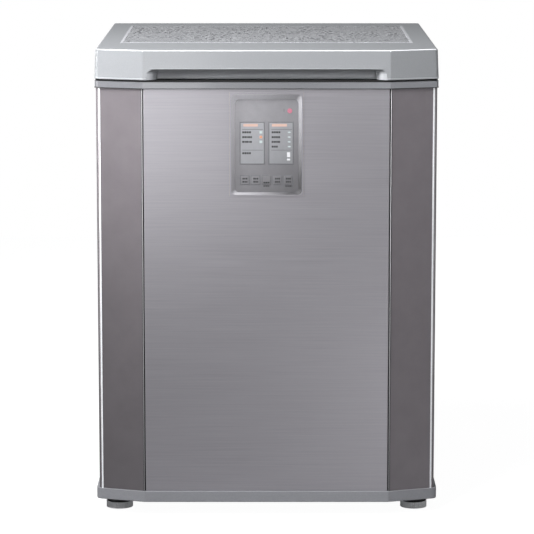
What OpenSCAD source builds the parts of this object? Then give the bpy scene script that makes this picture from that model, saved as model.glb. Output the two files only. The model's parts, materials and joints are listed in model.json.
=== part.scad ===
// Top-opening kimchi refrigerator with a one-piece lid, at its real size in millimetres.
// X runs to the right, the front faces -Y and Z is up.
// The origin is the middle of the footprint, on the floor.

/* [Cabinet] */
// Width over the side panels
body_w = 591; // [560:1:640]
// Depth from the front panel to the back panel
body_d = 640.5; // [620:0.5:700]
// Height of the front and side panels
panel_h = 709; // [660:1:800]
// Height of the base skirt's lower edge above the floor
ground_gap = 24.5; // [24.5:0.5:34]
// Height of the base skirt
skirt_h = 19; // [17:1:30]
// How far the base skirt stands proud of the panels
skirt_proud = 4.5; // [2:0.5:8]
// Height of the top frame
frame_h = 11.5; // [9:0.5:16]
// How far the top frame stands proud of the panels
frame_proud = 2; // [1:0.5:4]
// Joint line between the panels and the top frame
joint_line = 1; // [0.5:0.1:2]
// Thickness of the steel side and back panels
sheet_t = 1; // [0.6:0.1:1.4]
// Thickness of the brushed front panel
front_t = 1.2; // [0.8:0.1:1.6]
// Wall of the plastic corner pillars
pillar_t = 2.5; // [2:0.1:3]
// How far each pillar runs back along the side
pillar_return = 22; // [14:1:40]
// Depth of the turned-in edges beside the seam of the front panel
flange_d = 12; // [8:1:16]
// Wall of the moulded top frame, base skirt and lid
mould_t = 3; // [2.5:0.1:3.5]

/* [Plan of the front] */
// Width of the flat middle of the front
flat_w = 426; // [400:2:440]
// How far each front corner is swept back
facet_setback = 27; // [18:1:36]
// Seam between the front panel and each pillar
seam = 1.4; // [0.8:0.1:2]
// Radius of the front corners
corner_r = 7; // [6:0.5:12]
// Radius of the back corners
back_r = 4; // [4:0.5:8]

/* [Inside] */
// Insulated side wall, from the side panel to the liner's inner face
side_wall = 47.5; // [40:0.5:60]
// Insulated front wall, at the middle of the front
front_wall = 60; // [54:1:70]
// Insulated back wall
back_wall = 60; // [50:1:70]
// Insulated floor and the wall over the machine room
floor_wall = 56; // [50:1:66]
// Thickness of the aluminium liner
liner_t = 1.2; // [0.8:0.1:1.6]
// Radius of the liner's upright corners
liner_r = 25; // [20:1:32]
// Depth of the machine room
machine_d = 210; // [205:1:230]
// Height of the machine room
machine_h = 200; // [199:1:215]
// How far the top frame reaches in over the liner's edge
rim_overhang = 2; // [1:0.5:5]

/* [Lid] */
// Gap between the top frame and the lid, filled by the gasket
lid_gap = 3; // [2.5:0.1:4]
// Height of the lid
lid_h = 52; // [48:1:70]
// How far the lid's lower edge stands proud of the panels
lid_proud = 2.25; // [1:0.25:4]
// How much each side of the lid draws in towards the top
lid_draft = 2; // [1:0.25:3]
// Radius of the lid's top edge
lid_edge_r = 3.5; // [2:0.5:5]
// Thickness of the lid's top wall
lid_top_t = 3.5; // [3:0.1:5]
// Width of the decor panel on the lid
decor_w = 514; // [480:2:530]
// Distance from the lid's front edge to the decor panel
decor_front = 165; // [120:1:200]
// Distance from the lid's back edge to the decor panel
decor_back = 75; // [50:1:100]
// Thickness of the decor panel
decor_t = 1.4; // [1:0.1:1.8]
// Width of the finger scoop under the lid's front edge
scoop_w = 416; // [360:2:420]
// Height of the finger scoop
scoop_h = 18; // [14:1:22]
// Depth of the finger scoop
scoop_d = 25; // [18:1:30]
// Clearance around the plug under the lid
plug_gap = 12; // [8:1:16]
// How far the plug reaches below the rim
plug_depth = 17; // [12:1:22]
// Width of the gasket
gasket_w = 14; // [10:1:16]

/* [Control panel] */
// Width over the bezel
bezel_w = 128; // [124:1:136]
// Height over the bezel
bezel_h = 180; // [176:1:190]
// Distance from the top of the front panel to the bezel
bezel_drop = 6.2; // [4:0.2:30]
// Width of the control plate
plate_w = 110; // [108:1:112]
// Height of the control plate
plate_h = 161; // [158:1:164]
// Depth of the bezel's recess
recess_d = 6; // [5:0.5:12]
// Thickness of the control plate
plate_t = 2; // [1.6:0.1:2.4]
// How far the plate's middle lies below the bezel's middle
plate_sink = 3; // [0:0.5:4]
// Width of a display window
window_w = 42.4; // [38:0.2:44]
// Height of a display window
window_h = 73; // [66:1:76]
// Distance between the centres of the two display windows
window_pitch = 49.8; // [48:0.2:52]
// Distance from the plate's top to the windows
window_drop = 39; // [34:0.2:42]
// Width of a key
key_w = 14; // [12:0.2:15]
// Height of a key
key_h = 14.4; // [12:0.2:16]
// Distance between the centres of the keys
key_pitch = 18.8; // [17:0.2:20]
// Distance from the plate's bottom to the middle of the keys
key_rise = 21; // [14:0.5:26]
// Travel of a key
key_travel = 0.8; // [0.4:0.1:0.9]
// Radius of the power lamp
lamp_r = 4.2; // [2:0.1:5]

/* [Feet, rollers and hinges] */
// Radius of a levelling foot
foot_r = 23.5; // [18:0.5:26]
// Thickness of a foot's knurled disc
foot_t = 11; // [8:0.5:12]
// Distance from the side panel to a foot's middle
foot_side = 33.5; // [32.5:0.5:54]
// Distance from the front panel to the feet
foot_inset = 70; // [60:1:90]
// Radius of a foot's stem
stem_r = 5; // [4:0.1:6]
// Radius of a rear roller
roller_r = 16; // [14:0.5:17]
// Width of a rear roller
roller_w = 20; // [16:1:24]
// Radius of a roller's axle
axle_r = 4; // [3:0.1:5]
// Distance from the side panel to a roller's middle
roller_side = 55.5; // [50.5:0.5:85]
// Distance from the back panel to the roller's axle
roller_inset = 45; // [40:1:60]
// Distance between the middles of the two hinges
hinge_pitch = 340; // [260:2:420]
// Width over a hinge's ears
hinge_w = 60; // [50:1:70]
// Radius of a hinge pin
pin_r = 3.5; // [3:0.1:4]
// Distance from the back panel to the hinge axis
hinge_out = 7; // [7:0.1:8]
// Thickness of the hinge plates
hinge_t = 2; // [1.6:0.1:2.4]

/* [Machine room] */
// Radius of the compressor's shell
shell_r = 70; // [60:1:72]
// Height of the compressor's shell
shell_h = 146; // [130:1:146]
// Radius of the fan
fan_r = 68; // [60:1:70]
// Radius of the evaporator tube
evaporator_r = 4; // [3:0.1:5]
// Radius of the condenser tube
condenser_r = 2.5; // [2:0.1:3]
// Bend radius of the refrigerant tubes
bend_r = 12; // [10:0.5:12]
// Spacing of the condenser's runs
condenser_pitch = 24; // [24:0.5:25]

/* [Hidden] */
$fn = 48;

// Clearances
seat = 0.3;
running = 0.05;
key_clearance = 0.2;

// Heights
skirt_z = ground_gap;
panel_z = skirt_z + skirt_h;
floor_z = panel_z + 1.5;
frame_z = panel_z + panel_h + joint_line;
rim_z = frame_z + frame_h;
lid_z = rim_z + lid_gap;
top_z = lid_z + lid_h;

// Depths, with the footprint's middle at zero; the hinge knuckles reach furthest back
knuckle_r = pin_r + 3;
hinge_reach = hinge_out + knuckle_r;
front_y = skirt_proud - (skirt_proud + body_d + hinge_reach) / 2;
back_y = front_y + body_d;
half_w = body_w / 2;
facet_angle = atan(facet_setback / (half_w - flat_w / 2));

// Inside of the liner
inside_x = half_w - side_wall;
inside_front = front_y + front_wall;
inside_back = back_y - back_wall;
inside_floor = floor_z + floor_wall;
inside_top = rim_z - mould_t;
machine_y = back_y - machine_d;
machine_top = floor_z + machine_h;
step_y = machine_y - floor_wall * 0.8;
step_z = machine_top + floor_wall * 0.8;

// Control panel
bezel_top = panel_z + panel_h - bezel_drop;
bezel_z = bezel_top - bezel_h / 2;
plate_z = bezel_z - plate_sink;
plate_y = front_y + recess_d;
bezel_d = recess_d + plate_t + 4;
plate_seat = 3;
board_y = plate_y + plate_t + 1;
board_t = 1.6;
plate_top = plate_z + plate_h / 2;
window_z = plate_top - window_drop - window_h / 2;
key_z = plate_z - plate_h / 2 + key_rise;
key_proud = 0.6;

// Hinges
axis_y = back_y + hinge_out;
axis_z = rim_z + 2;
ear_t = 4;
knuckle_w = 18;
bracket_h = 64;
leaf_h = 38;
screw_r = 2;

// Feet and rollers
foot_y = front_y + foot_inset;
foot_travel = 12;
nut_r = 9;
nut_z = ground_gap + 0.5;
roller_y = back_y - roller_inset;
fork_t = 2;
fork_gap = 1;

// Machine room
compressor_at = [105.5 - half_w, back_y - shell_r - 25];
mount_h = 12;
mount_x = 62;
mount_y = 34;
mount_r = 10;
shell_z = floor_z + mount_h + 2;
shell_edge = 25;
suction_z = floor_z + 135;
fan_at = [back_y - 120, floor_z + fan_r + 22];
shroud_x = -62;
shroud_t = 4;
blade_w = 16;
coil_x = [-12, 105];
coil_y = back_y - 115;
coil_rows = 7;
dryer_at = [half_w - 145.5, back_y - 91];
dryer_r = 9;
capillary_r = 1.5;
board_box = [half_w - 130.5, half_w - 55.5];
evaporator_x = inside_x + liner_t + seat + evaporator_r;
evaporator_front = inside_front - liner_t - seat - evaporator_r;
evaporator_z = inside_floor + 50;
grille_top = machine_top + 10;

function unit(v) = v / norm(v);

function turned(v, a) = [v.x * cos(a) - v.y * sin(a), v.x * sin(a) + v.y * cos(a)];

// Points of one rounded corner at p, between its neighbours a and b
function round_corner(a, p, b, r, steps = 6) =
    r <= 0 ? [p] :
    let (
        u = unit(a - p),
        v = unit(b - p),
        half = acos(u * v) / 2,
        centre = p + unit(u + v) * r / sin(half),
        start = p + u * r / tan(half) - centre,
        sweep = (cross(u, v) < 0 ? 1 : -1) * (180 - 2 * half)
    )
    [for (k = [0 : steps]) centre + turned(start, sweep * k / steps)];

// An outline with each of its corners rounded to its own radius
function rounded(points, radii) =
    let (n = len(points))
    [for (i = [0 : n - 1])
        each round_corner(points[(i + n - 1) % n], points[i], points[(i + 1) % n], radii[i])];

// Plan of the body, moved outwards by e at the front and sides and by back_e at the back
function plan_points(e, back_e) =
    let (
        x = half_w + e,
        flat_x = flat_w / 2 + e * tan(facet_angle / 2),
        corner_y = front_y + facet_setback - e * cos(facet_angle) / (1 + sin(facet_angle))
    )
    [
        [flat_x, front_y - e], [x, corner_y], [x, back_y + back_e],
        [-x, back_y + back_e], [-x, corner_y], [-flat_x, front_y - e]
    ];

function plan_radii(e) =
    let (front = max(corner_r + e, 1), back = max(back_r + e, 1))
    [6, front, back, back, front, 6];

// Plate or ring stock with the body's plan
module plan(e, back_e, h) {
    linear_extrude(h)
        polygon(rounded(plan_points(e, back_e), plan_radii(e)));
}

// Upright block with rounded corners between two opposite corners
module rounded_block(low, high, r) {
    corners = [[high.x, low.y], [high.x, high.y], [low.x, high.y], [low.x, low.y]];
    translate([0, 0, low.z])
        linear_extrude(high.z - low.z)
            polygon(rounded(corners, [r, r, r, r]));
}

module block(low, high) {
    translate(low)
        cube(high - low);
}

module both_sides() {
    children();
    mirror([1, 0, 0])
        children();
}

// Children drawn along +Z are placed at a point and turned to run along d
module along(at, x, d) {
    y = cross(d, x);
    multmatrix([
        [x.x, y.x, d.x, at.x],
        [x.y, y.y, d.y, at.y],
        [x.z, y.z, d.z, at.z],
        [0, 0, 0, 1]
    ])
        children();
}

module rod_x(at, r, length) {
    translate(at)
        rotate([0, 90, 0])
            cylinder(r = r, h = length);
}

module rod_y(at, r, length) {
    translate(at)
        rotate([-90, 0, 0])
            cylinder(r = r, h = length);
}

// Tube through points joined by right-angled legs, with a round bend at each corner
module tube_path(points, r, bend) {
    last = len(points) - 1;
    for (i = [0 : last - 1]) {
        d = unit(points[i + 1] - points[i]);
        start = points[i] + (i > 0 ? d * bend : [0, 0, 0]);
        end = points[i + 1] - (i < last - 1 ? d * bend : [0, 0, 0]);
        side = abs(d.z) > 0.5 ? [1, 0, 0] : [0, 0, 1];
        if (norm(end - start) > 0.01)
            along(start, side, d)
                cylinder(r = r, h = norm(end - start));
    }
    for (i = [1 : last - 1]) {
        arriving = unit(points[i] - points[i - 1]);
        leaving = unit(points[i + 1] - points[i]);
        centre = points[i] - arriving * bend + leaving * bend;
        along(centre, -leaving, cross(-leaving, arriving))
            rotate_extrude(angle = 90)
                translate([bend, 0])
                    circle(r);
    }
}

// Block around the stretch between two points, with a margin of half on each side
module channel_block(a, b, half) {
    margin = [half, half, half];
    block(
        [min(a.x, b.x), min(a.y, b.y), min(a.z, b.z)] - margin,
        [max(a.x, b.x), max(a.y, b.y), max(a.z, b.z)] + margin
    );
}

// Square channel that a tube through the same points lies in, with room for its bends
module tube_channel(points, half, bend) {
    last = len(points) - 1;
    for (i = [0 : last - 1])
        channel_block(points[i], points[i + 1], half);
    for (i = [1 : last - 1])
        channel_block(
            points[i] - unit(points[i] - points[i - 1]) * bend,
            points[i] + unit(points[i + 1] - points[i]) * bend,
            half
        );
}

// Cabinet panels

// Zone of one pillar: from the seam round the corner and back along the side
module pillar_zone(e) {
    block(
        [flat_w / 2 + seam / 2 - e, front_y - 20, panel_z - 1],
        [half_w + 20, front_y + facet_setback + pillar_return + e, frame_z]
    );
}

module pillar(side) {
    mirror([side < 0 ? 1 : 0, 0, 0]) {
        intersection() {
            difference() {
                translate([0, 0, panel_z])
                    plan(0, 0, panel_h);
                translate([0, 0, panel_z - 1])
                    plan(-pillar_t, 0, panel_h + 2);
            }
            pillar_zone(0);
        }
        block(
            [flat_w / 2 + seam / 2, front_y + 1, panel_z],
            [flat_w / 2 + seam / 2 + pillar_t, front_y + flange_d, panel_z + panel_h]
        );
    }
}

module corner_pillar_left() {
    color("#8b868a")
        pillar(-1);
}

module corner_pillar_right() {
    color("#8b868a")
        pillar(1);
}

module side_panel(side) {
    mirror([side < 0 ? 1 : 0, 0, 0])
        block(
            [half_w - sheet_t, front_y + facet_setback + pillar_return + seam / 2, panel_z],
            [half_w, back_y, panel_z + panel_h]
        );
}

module side_panel_left() {
    color("#a3a4a8")
        side_panel(-1);
}

module side_panel_right() {
    color("#a3a4a8")
        side_panel(1);
}

module back_panel() {
    color("#9a9b9f")
        difference() {
            block(
                [-half_w + sheet_t, back_y - sheet_t, grille_top + seam],
                [half_w - sheet_t, back_y, panel_z + panel_h]
            );
            hinge_screw_shanks(0.1);
        }
}

module front_panel() {
    color("#a9a9ac")
        difference() {
            union() {
                block(
                    [-flat_w / 2 + seam / 2, front_y, panel_z],
                    [flat_w / 2 - seam / 2, front_y + front_t, panel_z + panel_h]
                );
                both_sides()
                    block(
                        [flat_w / 2 - seam / 2 - front_t, front_y, panel_z],
                        [flat_w / 2 - seam / 2, front_y + flange_d, panel_z + panel_h]
                    );
            }
            bezel_body(seat / 2);
        }
}

module top_frame() {
    color("#9c9ea2")
        difference() {
            translate([0, 0, frame_z])
                plan(frame_proud, 0, frame_h);
            translate([0, 0, frame_z - 1])
                plan(-sheet_t, -sheet_t, frame_h - mould_t + 1);
            rounded_block(
                [-inside_x + rim_overhang, inside_front + rim_overhang, frame_z - 1],
                [inside_x - rim_overhang, inside_back - rim_overhang, rim_z + 1],
                liner_r
            );
        }
}

module base_skirt() {
    color("#87888c")
        difference() {
            translate([0, 0, skirt_z])
                plan(skirt_proud, 0, skirt_h);
            translate([0, 0, skirt_z - 1])
                plan(-14, -14, skirt_h + 2);
            difference() {
                translate([0, 0, skirt_z - 1])
                    plan(skirt_proud - mould_t, -mould_t, skirt_h - mould_t + 1);
                translate([0, 0, skirt_z - 2])
                    plan(mould_t - 14, mould_t - 14, skirt_h + 2);
            }
        }
}

module bottom_plate() {
    color("#6f7073")
        difference() {
            translate([0, 0, panel_z])
                plan(-pillar_t, -sheet_t - 1, floor_z - panel_z);
            translate([0, 0, -1])
                both_sides()
                    pillar_slot();
        }
}

// Space kept free for the turned-in edges at one seam
module pillar_slot() {
    block(
        [flat_w / 2 - seam / 2 - front_t, front_y - 1, panel_z],
        [flat_w / 2 + seam / 2 + pillar_t, front_y + flange_d, frame_z]
    );
}

// Liner and insulation

// Inside of the liner, grown by e, with the step over the machine room
module liner_shape(e, top) {
    difference() {
        rounded_block(
            [-inside_x - e, inside_front - e, inside_floor - e],
            [inside_x + e, inside_back + e, top],
            liner_r + e
        );
        block([-half_w, step_y + e, 0], [half_w, back_y, step_z - e]);
    }
}

module inner_liner() {
    color("#d4d6d9")
        difference() {
            liner_shape(liner_t, inside_top);
            liner_shape(0, inside_top + 1);
        }
}

module cabinet_insulation() {
    color("#e6d9a8")
        difference() {
            intersection() {
                translate([0, 0, floor_z])
                    plan(-sheet_t, -sheet_t, inside_top - floor_z);
                union() {
                    translate([0, 0, floor_z])
                        plan(-pillar_t, -sheet_t, inside_top - floor_z);
                    block(
                        [
                            -half_w, front_y + facet_setback + pillar_return + seam / 2,
                            floor_z - 1
                        ],
                        [half_w, back_y, inside_top + 1]
                    );
                }
            }
            liner_shape(liner_t, inside_top + 1);
            block([-half_w, machine_y, 0], [half_w, back_y + 1, machine_top]);
            block([-half_w, back_y - sheet_t - 3, 0], [half_w, back_y + 1, grille_top + seam]);
            both_sides()
                pillar_slot();
            bezel_body(seat);
            translate([0, 0, evaporator_z])
                tube_channel(evaporator_points(machine_y + 1), evaporator_r + seat, bend_r);
            sensor_block(seat);
        }
}

// Runs round the liner's left wall, front wall and right wall, as one tube
evaporator_low = [0, 60, 120];
evaporator_high = [for (i = [0 : 5]) step_z - evaporator_z + 45 + 62 * i];
evaporator_back = inside_back - 30;

function evaporator_side(side, stub_y) =
    let (
        x = side * evaporator_x,
        low_back = step_y - 25,
        turn = inside_front + 30,
        top = len(evaporator_high) - 1
    )
    concat(
        [[x, stub_y, evaporator_low[0]], [x, turn, evaporator_low[0]]],
        [[x, turn, evaporator_low[1]], [x, low_back, evaporator_low[1]]],
        [[x, low_back, evaporator_low[2]], [x, turn, evaporator_low[2]]],
        [for (i = [0 : top])
            each i % 2 == 0 ?
                [[x, turn, evaporator_high[i]], [x, evaporator_back, evaporator_high[i]]] :
                [
                    [x, evaporator_back, evaporator_high[i]],
                    [x, i == top ? evaporator_front : turn, evaporator_high[i]]
                ]]
    );

function backwards(list) = [for (i = [len(list) - 1 : -1 : 0]) list[i]];

function evaporator_points(stub_y) =
    concat(evaporator_side(-1, stub_y), backwards(evaporator_side(1, stub_y)));

evaporator_end = machine_y + 7;

module evaporator_tube() {
    color("#b87a4a")
        translate([0, 0, evaporator_z])
            tube_path(evaporator_points(evaporator_end), evaporator_r, bend_r);
}

module sensor_block(e) {
    y = inside_back + liner_t;
    block([-15 - e, y - e, step_z + 80 - e], [15 + e, y + 8 + e, step_z + 92 + e]);
}

module temperature_sensor() {
    color("#e8e8e4")
        sensor_block(0);
}

// Control panel

module bezel_body(e) {
    block(
        [-bezel_w / 2 - e, front_y - 3, bezel_z - bezel_h / 2 - e],
        [bezel_w / 2 + e, front_y + bezel_d + e, bezel_z + bezel_h / 2 + e]
    );
}

module control_bezel() {
    y = front_y - 0.6;
    back = front_y + bezel_d;
    inner = [plate_w / 2 - plate_seat, plate_h / 2 - plate_seat];
    color("#9b9ca0")
        difference() {
            block(
                [-bezel_w / 2, y, bezel_z - bezel_h / 2],
                [bezel_w / 2, back, bezel_z + bezel_h / 2]
            );
            hull() {
                block(
                    [3 - bezel_w / 2, y - 0.1, bezel_z + 3 - bezel_h / 2],
                    [bezel_w / 2 - 3, y, bezel_z + bezel_h / 2 - 3]
                );
                block(
                    [-plate_w / 2, plate_y - 0.1, plate_z - plate_h / 2],
                    [plate_w / 2, plate_y, plate_z + plate_h / 2]
                );
            }
            block(
                [-plate_w / 2, plate_y - 1, plate_z - plate_h / 2],
                [plate_w / 2, plate_y + plate_t, plate_z + plate_h / 2]
            );
            block(
                [-inner.x, plate_y, plate_z - inner.y],
                [inner.x, back + 1, plate_z + inner.y]
            );
        }
}

module window_block(side, e, y, back) {
    x = side * window_pitch / 2;
    block(
        [x - window_w / 2 - e, y, window_z - window_h / 2 - e],
        [x + window_w / 2 + e, back, window_z + window_h / 2 + e]
    );
}

module key_block(index, e, y, back) {
    x = (index - 3) * key_pitch;
    block([x - key_w / 2 - e, y, key_z - key_h / 2 - e], [x + key_w / 2 + e, back, key_z + key_h / 2 + e]);
}

module control_plate() {
    margin = 0.1;
    color("#7f8084")
        difference() {
            block(
                [margin - plate_w / 2, plate_y, plate_z + margin - plate_h / 2],
                [plate_w / 2 - margin, plate_y + plate_t, plate_z + plate_h / 2 - margin]
            );
            for (side = [-1, 1])
                window_block(side, margin, plate_y - 1, plate_y + plate_t + 1);
            for (index = [1 : 5])
                key_block(index, key_clearance, plate_y - 1, plate_y + plate_t + 1);
        }
}

module display_windows() {
    color("#c9cdd0")
        for (side = [-1, 1])
            window_block(side, 0, plate_y - seat, board_y);
}

// Lamps behind the windows show through as small discs, with the power lamp above them
module indicator_lamps() {
    top_row = window_z + window_h / 2 - 17.6;
    row_pitch = 8.3;
    color("#d98a3c") {
        for (side = [-1, 1], row = [0 : side < 0 ? 2 : 3])
            rod_y(
                [
                    side * window_pitch / 2 + window_w / 2 - 6, plate_y - seat - 0.4,
                    top_row - row * row_pitch
                ],
                1.3, 0.4
            );
        rod_y([lamp_x, plate_y - 0.5, lamp_z], lamp_r, 0.5);
    }
}

lamp_x = plate_w / 2 - 15;
lamp_z = plate_top - 19.5;

module control_board() {
    inner = [plate_w / 2 - plate_seat - 1, plate_h / 2 - plate_seat - 1];
    color("#3f6b4c") {
        block(
            [-inner.x, board_y, plate_z - inner.y],
            [inner.x, board_y + board_t, plate_z + inner.y]
        );
        for (index = [1 : 5])
            rod_y([(index - 3) * key_pitch, key_back + key_travel + 0.05, key_z], 2.5,
                board_y - key_back - key_travel - 0.05);
    }
}

key_back = plate_y + plate_t - 0.3;

module key(index) {
    color("#8c8d91")
        key_block(index, 0, plate_y - key_proud, key_back);
}

module key_1() { key(1); }
module key_2() { key(2); }
module key_3() { key(3); }
module key_4() { key(4); }
module key_5() { key(5); }

// Machine room

module main_board_box() {
    low = [board_box[0], machine_y + 10, floor_z];
    high = [board_box[1], machine_y + 100, floor_z + 120];
    wall = [2, 2, 2];
    color("#d8d8d2") {
        difference() {
            block(low, high);
            block(low + wall, high - wall);
        }
        block(low + wall + [8, 8, 0], [high.x - 10, high.y - 10, low.z + 6]);
    }
}

module compressor() {
    top = shell_z + shell_h;
    core = shell_r - shell_edge;
    color("#2b2c2e") {
        difference() {
            union() {
                translate([compressor_at.x, compressor_at.y, 0])
                    rotate_extrude() {
                        translate([0, shell_z])
                            square([core, shell_h]);
                        translate([0, shell_z + shell_edge])
                            square([shell_r, shell_h - 2 * shell_edge]);
                        translate([core, shell_z + shell_edge])
                            circle(shell_edge);
                        translate([core, top - shell_edge])
                            circle(shell_edge);
                        translate([0, shell_z + shell_h / 2 - 3])
                            square([shell_r + 3, 6]);
                    }
                block(
                    [
                        compressor_at.x - mount_x - mount_r - 3,
                        compressor_at.y - mount_y - mount_r - 1,
                        shell_z - 2
                    ],
                    [
                        compressor_at.x + mount_x + mount_r + 3,
                        compressor_at.y + mount_y + mount_r + 1,
                        shell_z + 1
                    ]
                );
                rod_y([suction_x, suction_y, suction_z], evaporator_r, 60);
                translate([discharge_at.x, discharge_at.y, top - 30])
                    cylinder(r = condenser_r, h = 42);
            }
            rod_y([suction_x, suction_y - 1, suction_z], evaporator_r - 1, 8);
        }
    }
}

suction_x = compressor_at.x - 25;
suction_y = compressor_at.y - shell_r - 12;
discharge_at = [compressor_at.x + 30, compressor_at.y + 25];
discharge_z = shell_z + shell_h + 12;

cover_half_w = 22;
cover_h = 46;
cover_rise = 20;

module compressor_cover() {
    low = shell_z + cover_rise;
    color("#3a3a3c")
        difference() {
            block(
                [compressor_at.x + shell_r - 12, compressor_at.y - cover_half_w, low],
                [compressor_at.x + shell_r + 18, compressor_at.y + cover_half_w, low + cover_h]
            );
            translate([compressor_at.x, compressor_at.y, shell_z])
                cylinder(r = shell_r + seat, h = cover_rise + cover_h + 24);
        }
}

module compressor_grommets() {
    color("#1d1d1e")
        for (x = [-mount_x, mount_x], y = [-mount_y, mount_y])
            translate([compressor_at.x + x, compressor_at.y + y, floor_z])
                cylinder(r = mount_r, h = mount_h);
}

coil_z = floor_z + condenser_r + seat;

// Runs of one layer of the coil, each starting at the end where the last one stopped
function coil_layer(y, rows, first) =
    [for (i = rows)
        let (z = coil_z + i * condenser_pitch, end = (i + first) % 2)
        each [[coil_x[end], y, z], [coil_x[1 - end], y, z]]];

// The first layer runs down, and the second climbs again one pitch behind it
coil_points = concat(
    coil_layer(coil_y, [coil_rows - 1 : -1 : 0], 0),
    coil_layer(coil_y + condenser_pitch, [0 : coil_rows - 2], 1)
);

module condenser_coil() {
    color("#2f3032")
        tube_path(coil_points, condenser_r, bend_r);
}

module fan_shroud() {
    hub_x = shroud_x + shroud_t / 2;
    hub_t = 6;
    arm_t = 4;
    color("#3b3c3f") {
        difference() {
            union() {
                block(
                    [shroud_x, fan_at.x - fan_r - 12, floor_z],
                    [shroud_x + shroud_t, fan_at.x + fan_r + 12, fan_at.y + fan_r + 22]
                );
                rod_x([shroud_x - blade_w, fan_at.x, fan_at.y], fan_r + 8, blade_w);
            }
            rod_x([shroud_x - blade_w - 1, fan_at.x, fan_at.y], fan_r + 5, blade_w + shroud_t + 2);
        }
        difference() {
            union() {
                rod_x([hub_x, fan_at.x, fan_at.y], 22, hub_t);
                for (a = [45 : 90 : 315])
                    translate([hub_x + 1, fan_at.x, fan_at.y])
                        rotate([a, 0, 0])
                            translate([0, -4, 10])
                                cube([arm_t, 8, fan_r]);
            }
            rod_x([hub_x - 1, fan_at.x, fan_at.y], 6, hub_t + 2);
        }
    }
}

module fan_motor() {
    back = shroud_x + shroud_t + 4;
    color("#4a4b4e") {
        rod_x([back, fan_at.x, fan_at.y], 21, 26);
        rod_x([shroud_x - blade_w, fan_at.x, fan_at.y], 3, back - shroud_x + blade_w);
    }
}

module fan_blade() {
    x = shroud_x - blade_w;
    width = blade_w - 1;
    color("#5c5e62")
        difference() {
            union() {
                rod_x([x, fan_at.x, fan_at.y], 15, width);
                intersection() {
                    rod_x([x, fan_at.x, fan_at.y], fan_r, width);
                    for (a = [0 : 72 : 288])
                        translate([x + width / 2, fan_at.x, fan_at.y])
                            rotate([a, 0, 0])
                                translate([0, 0, 10])
                                    rotate([0, 0, 28])
                                        translate([-1, -16, 0])
                                            cube([2, 32, fan_r]);
                }
            }
            rod_x([x - 1, fan_at.x, fan_at.y], 3 + running, width + 2);
        }
}

dryer_z = [floor_z + 17, floor_z + 105];

module filter_dryer() {
    neck = 12;
    color("#b87a4a")
        translate([dryer_at.x, dryer_at.y, 0]) {
            translate([0, 0, dryer_z[0] + neck])
                cylinder(r = dryer_r, h = dryer_z[1] - dryer_z[0] - 2 * neck);
            translate([0, 0, dryer_z[0]])
                cylinder(r = capillary_r + 1, h = neck);
            translate([0, 0, dryer_z[1] - neck])
                cylinder(r = condenser_r + 1, h = neck);
        }
}

module refrigerant_pipes() {
    left_z = evaporator_z;
    pipe_y = evaporator_end + bend_r + 0.2;
    over_z = discharge_z + bend_r + 2;
    drop_x = coil_x[0] - 22;
    coil_start = coil_points[0];
    coil_end = coil_points[len(coil_points) - 1];
    thin_bend = 8;
    color("#b87a4a") {
        tube_path([
            [-evaporator_x, evaporator_end, left_z],
            [-evaporator_x, pipe_y, left_z],
            [-evaporator_x, pipe_y, suction_z],
            [suction_x, pipe_y, suction_z],
            [suction_x, suction_y, suction_z]
        ], evaporator_r, bend_r);
        tube_path([
            [discharge_at.x, discharge_at.y, discharge_z],
            [discharge_at.x, discharge_at.y, over_z],
            [drop_x, discharge_at.y, over_z],
            [drop_x, coil_start.y, over_z],
            [drop_x, coil_start.y, coil_start.z],
            coil_start
        ], condenser_r, bend_r);
        tube_path([
            coil_end,
            [dryer_at.x, coil_end.y, coil_end.z],
            [dryer_at.x, coil_end.y, dryer_z[1]]
        ], condenser_r, bend_r);
        tube_path([
            [dryer_at.x, dryer_at.y, dryer_z[0]],
            [dryer_at.x, dryer_at.y, floor_z + 6],
            [evaporator_x, dryer_at.y, floor_z + 6],
            [evaporator_x, dryer_at.y, left_z],
            [evaporator_x, evaporator_end, left_z]
        ], capillary_r, thin_bend);
    }
}

grille_screw_x = half_w - 18;

module grille_screw_places() {
    for (x = [-grille_screw_x, grille_screw_x], z = [floor_z + 12, grille_top - 12])
        translate([x, 0, z])
            children();
}

module rear_grille() {
    slot_w = 160;
    color("#77787b")
        difference() {
            block([-half_w + sheet_t, back_y - 2, panel_z], [half_w - sheet_t, back_y, grille_top]);
            for (x = [-150, 60], row = [0 : 9])
                block(
                    [x - slot_w / 2, back_y - 3, floor_z + 30 + 15 * row],
                    [x + slot_w / 2, back_y + 1, floor_z + 35 + 15 * row]
                );
            grille_screw_places()
                rod_y([0, back_y - 3, 0], screw_r + 0.1, 5);
            rod_y([gland_at.x, back_y - 3, gland_at.y], gland_r - 2, 5);
        }
}

module grille_screws() {
    color("#b9babd")
        grille_screw_places()
            screw(back_y);
}

// Round-headed screw whose head bears on a face that looks backwards at y
module screw(y) {
    rod_y([0, y - 3, 0], screw_r, 3.5);
    rod_y([0, y, 0], 2 * screw_r, 2.2);
}

gland_at = [half_w - 70.5, floor_z + 30];
gland_r = 11;
gland_bore = 4;
gland_length = 12;

module cord_gland() {
    color("#1f1f20")
        difference() {
            union() {
                rod_y([gland_at.x, back_y, gland_at.y], gland_r, 3);
                rod_y([gland_at.x, back_y - 3.5, gland_at.y], gland_r - 2.1, gland_length - 0.5);
            }
            rod_y([gland_at.x, back_y - 5, gland_at.y], gland_bore, gland_length + 10);
        }
}

// Hinges

module hinge_places() {
    for (x = [-hinge_pitch / 2, hinge_pitch / 2])
        translate([x, 0, 0])
            children();
}

bracket_top = axis_z - knuckle_r - 3;

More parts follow.
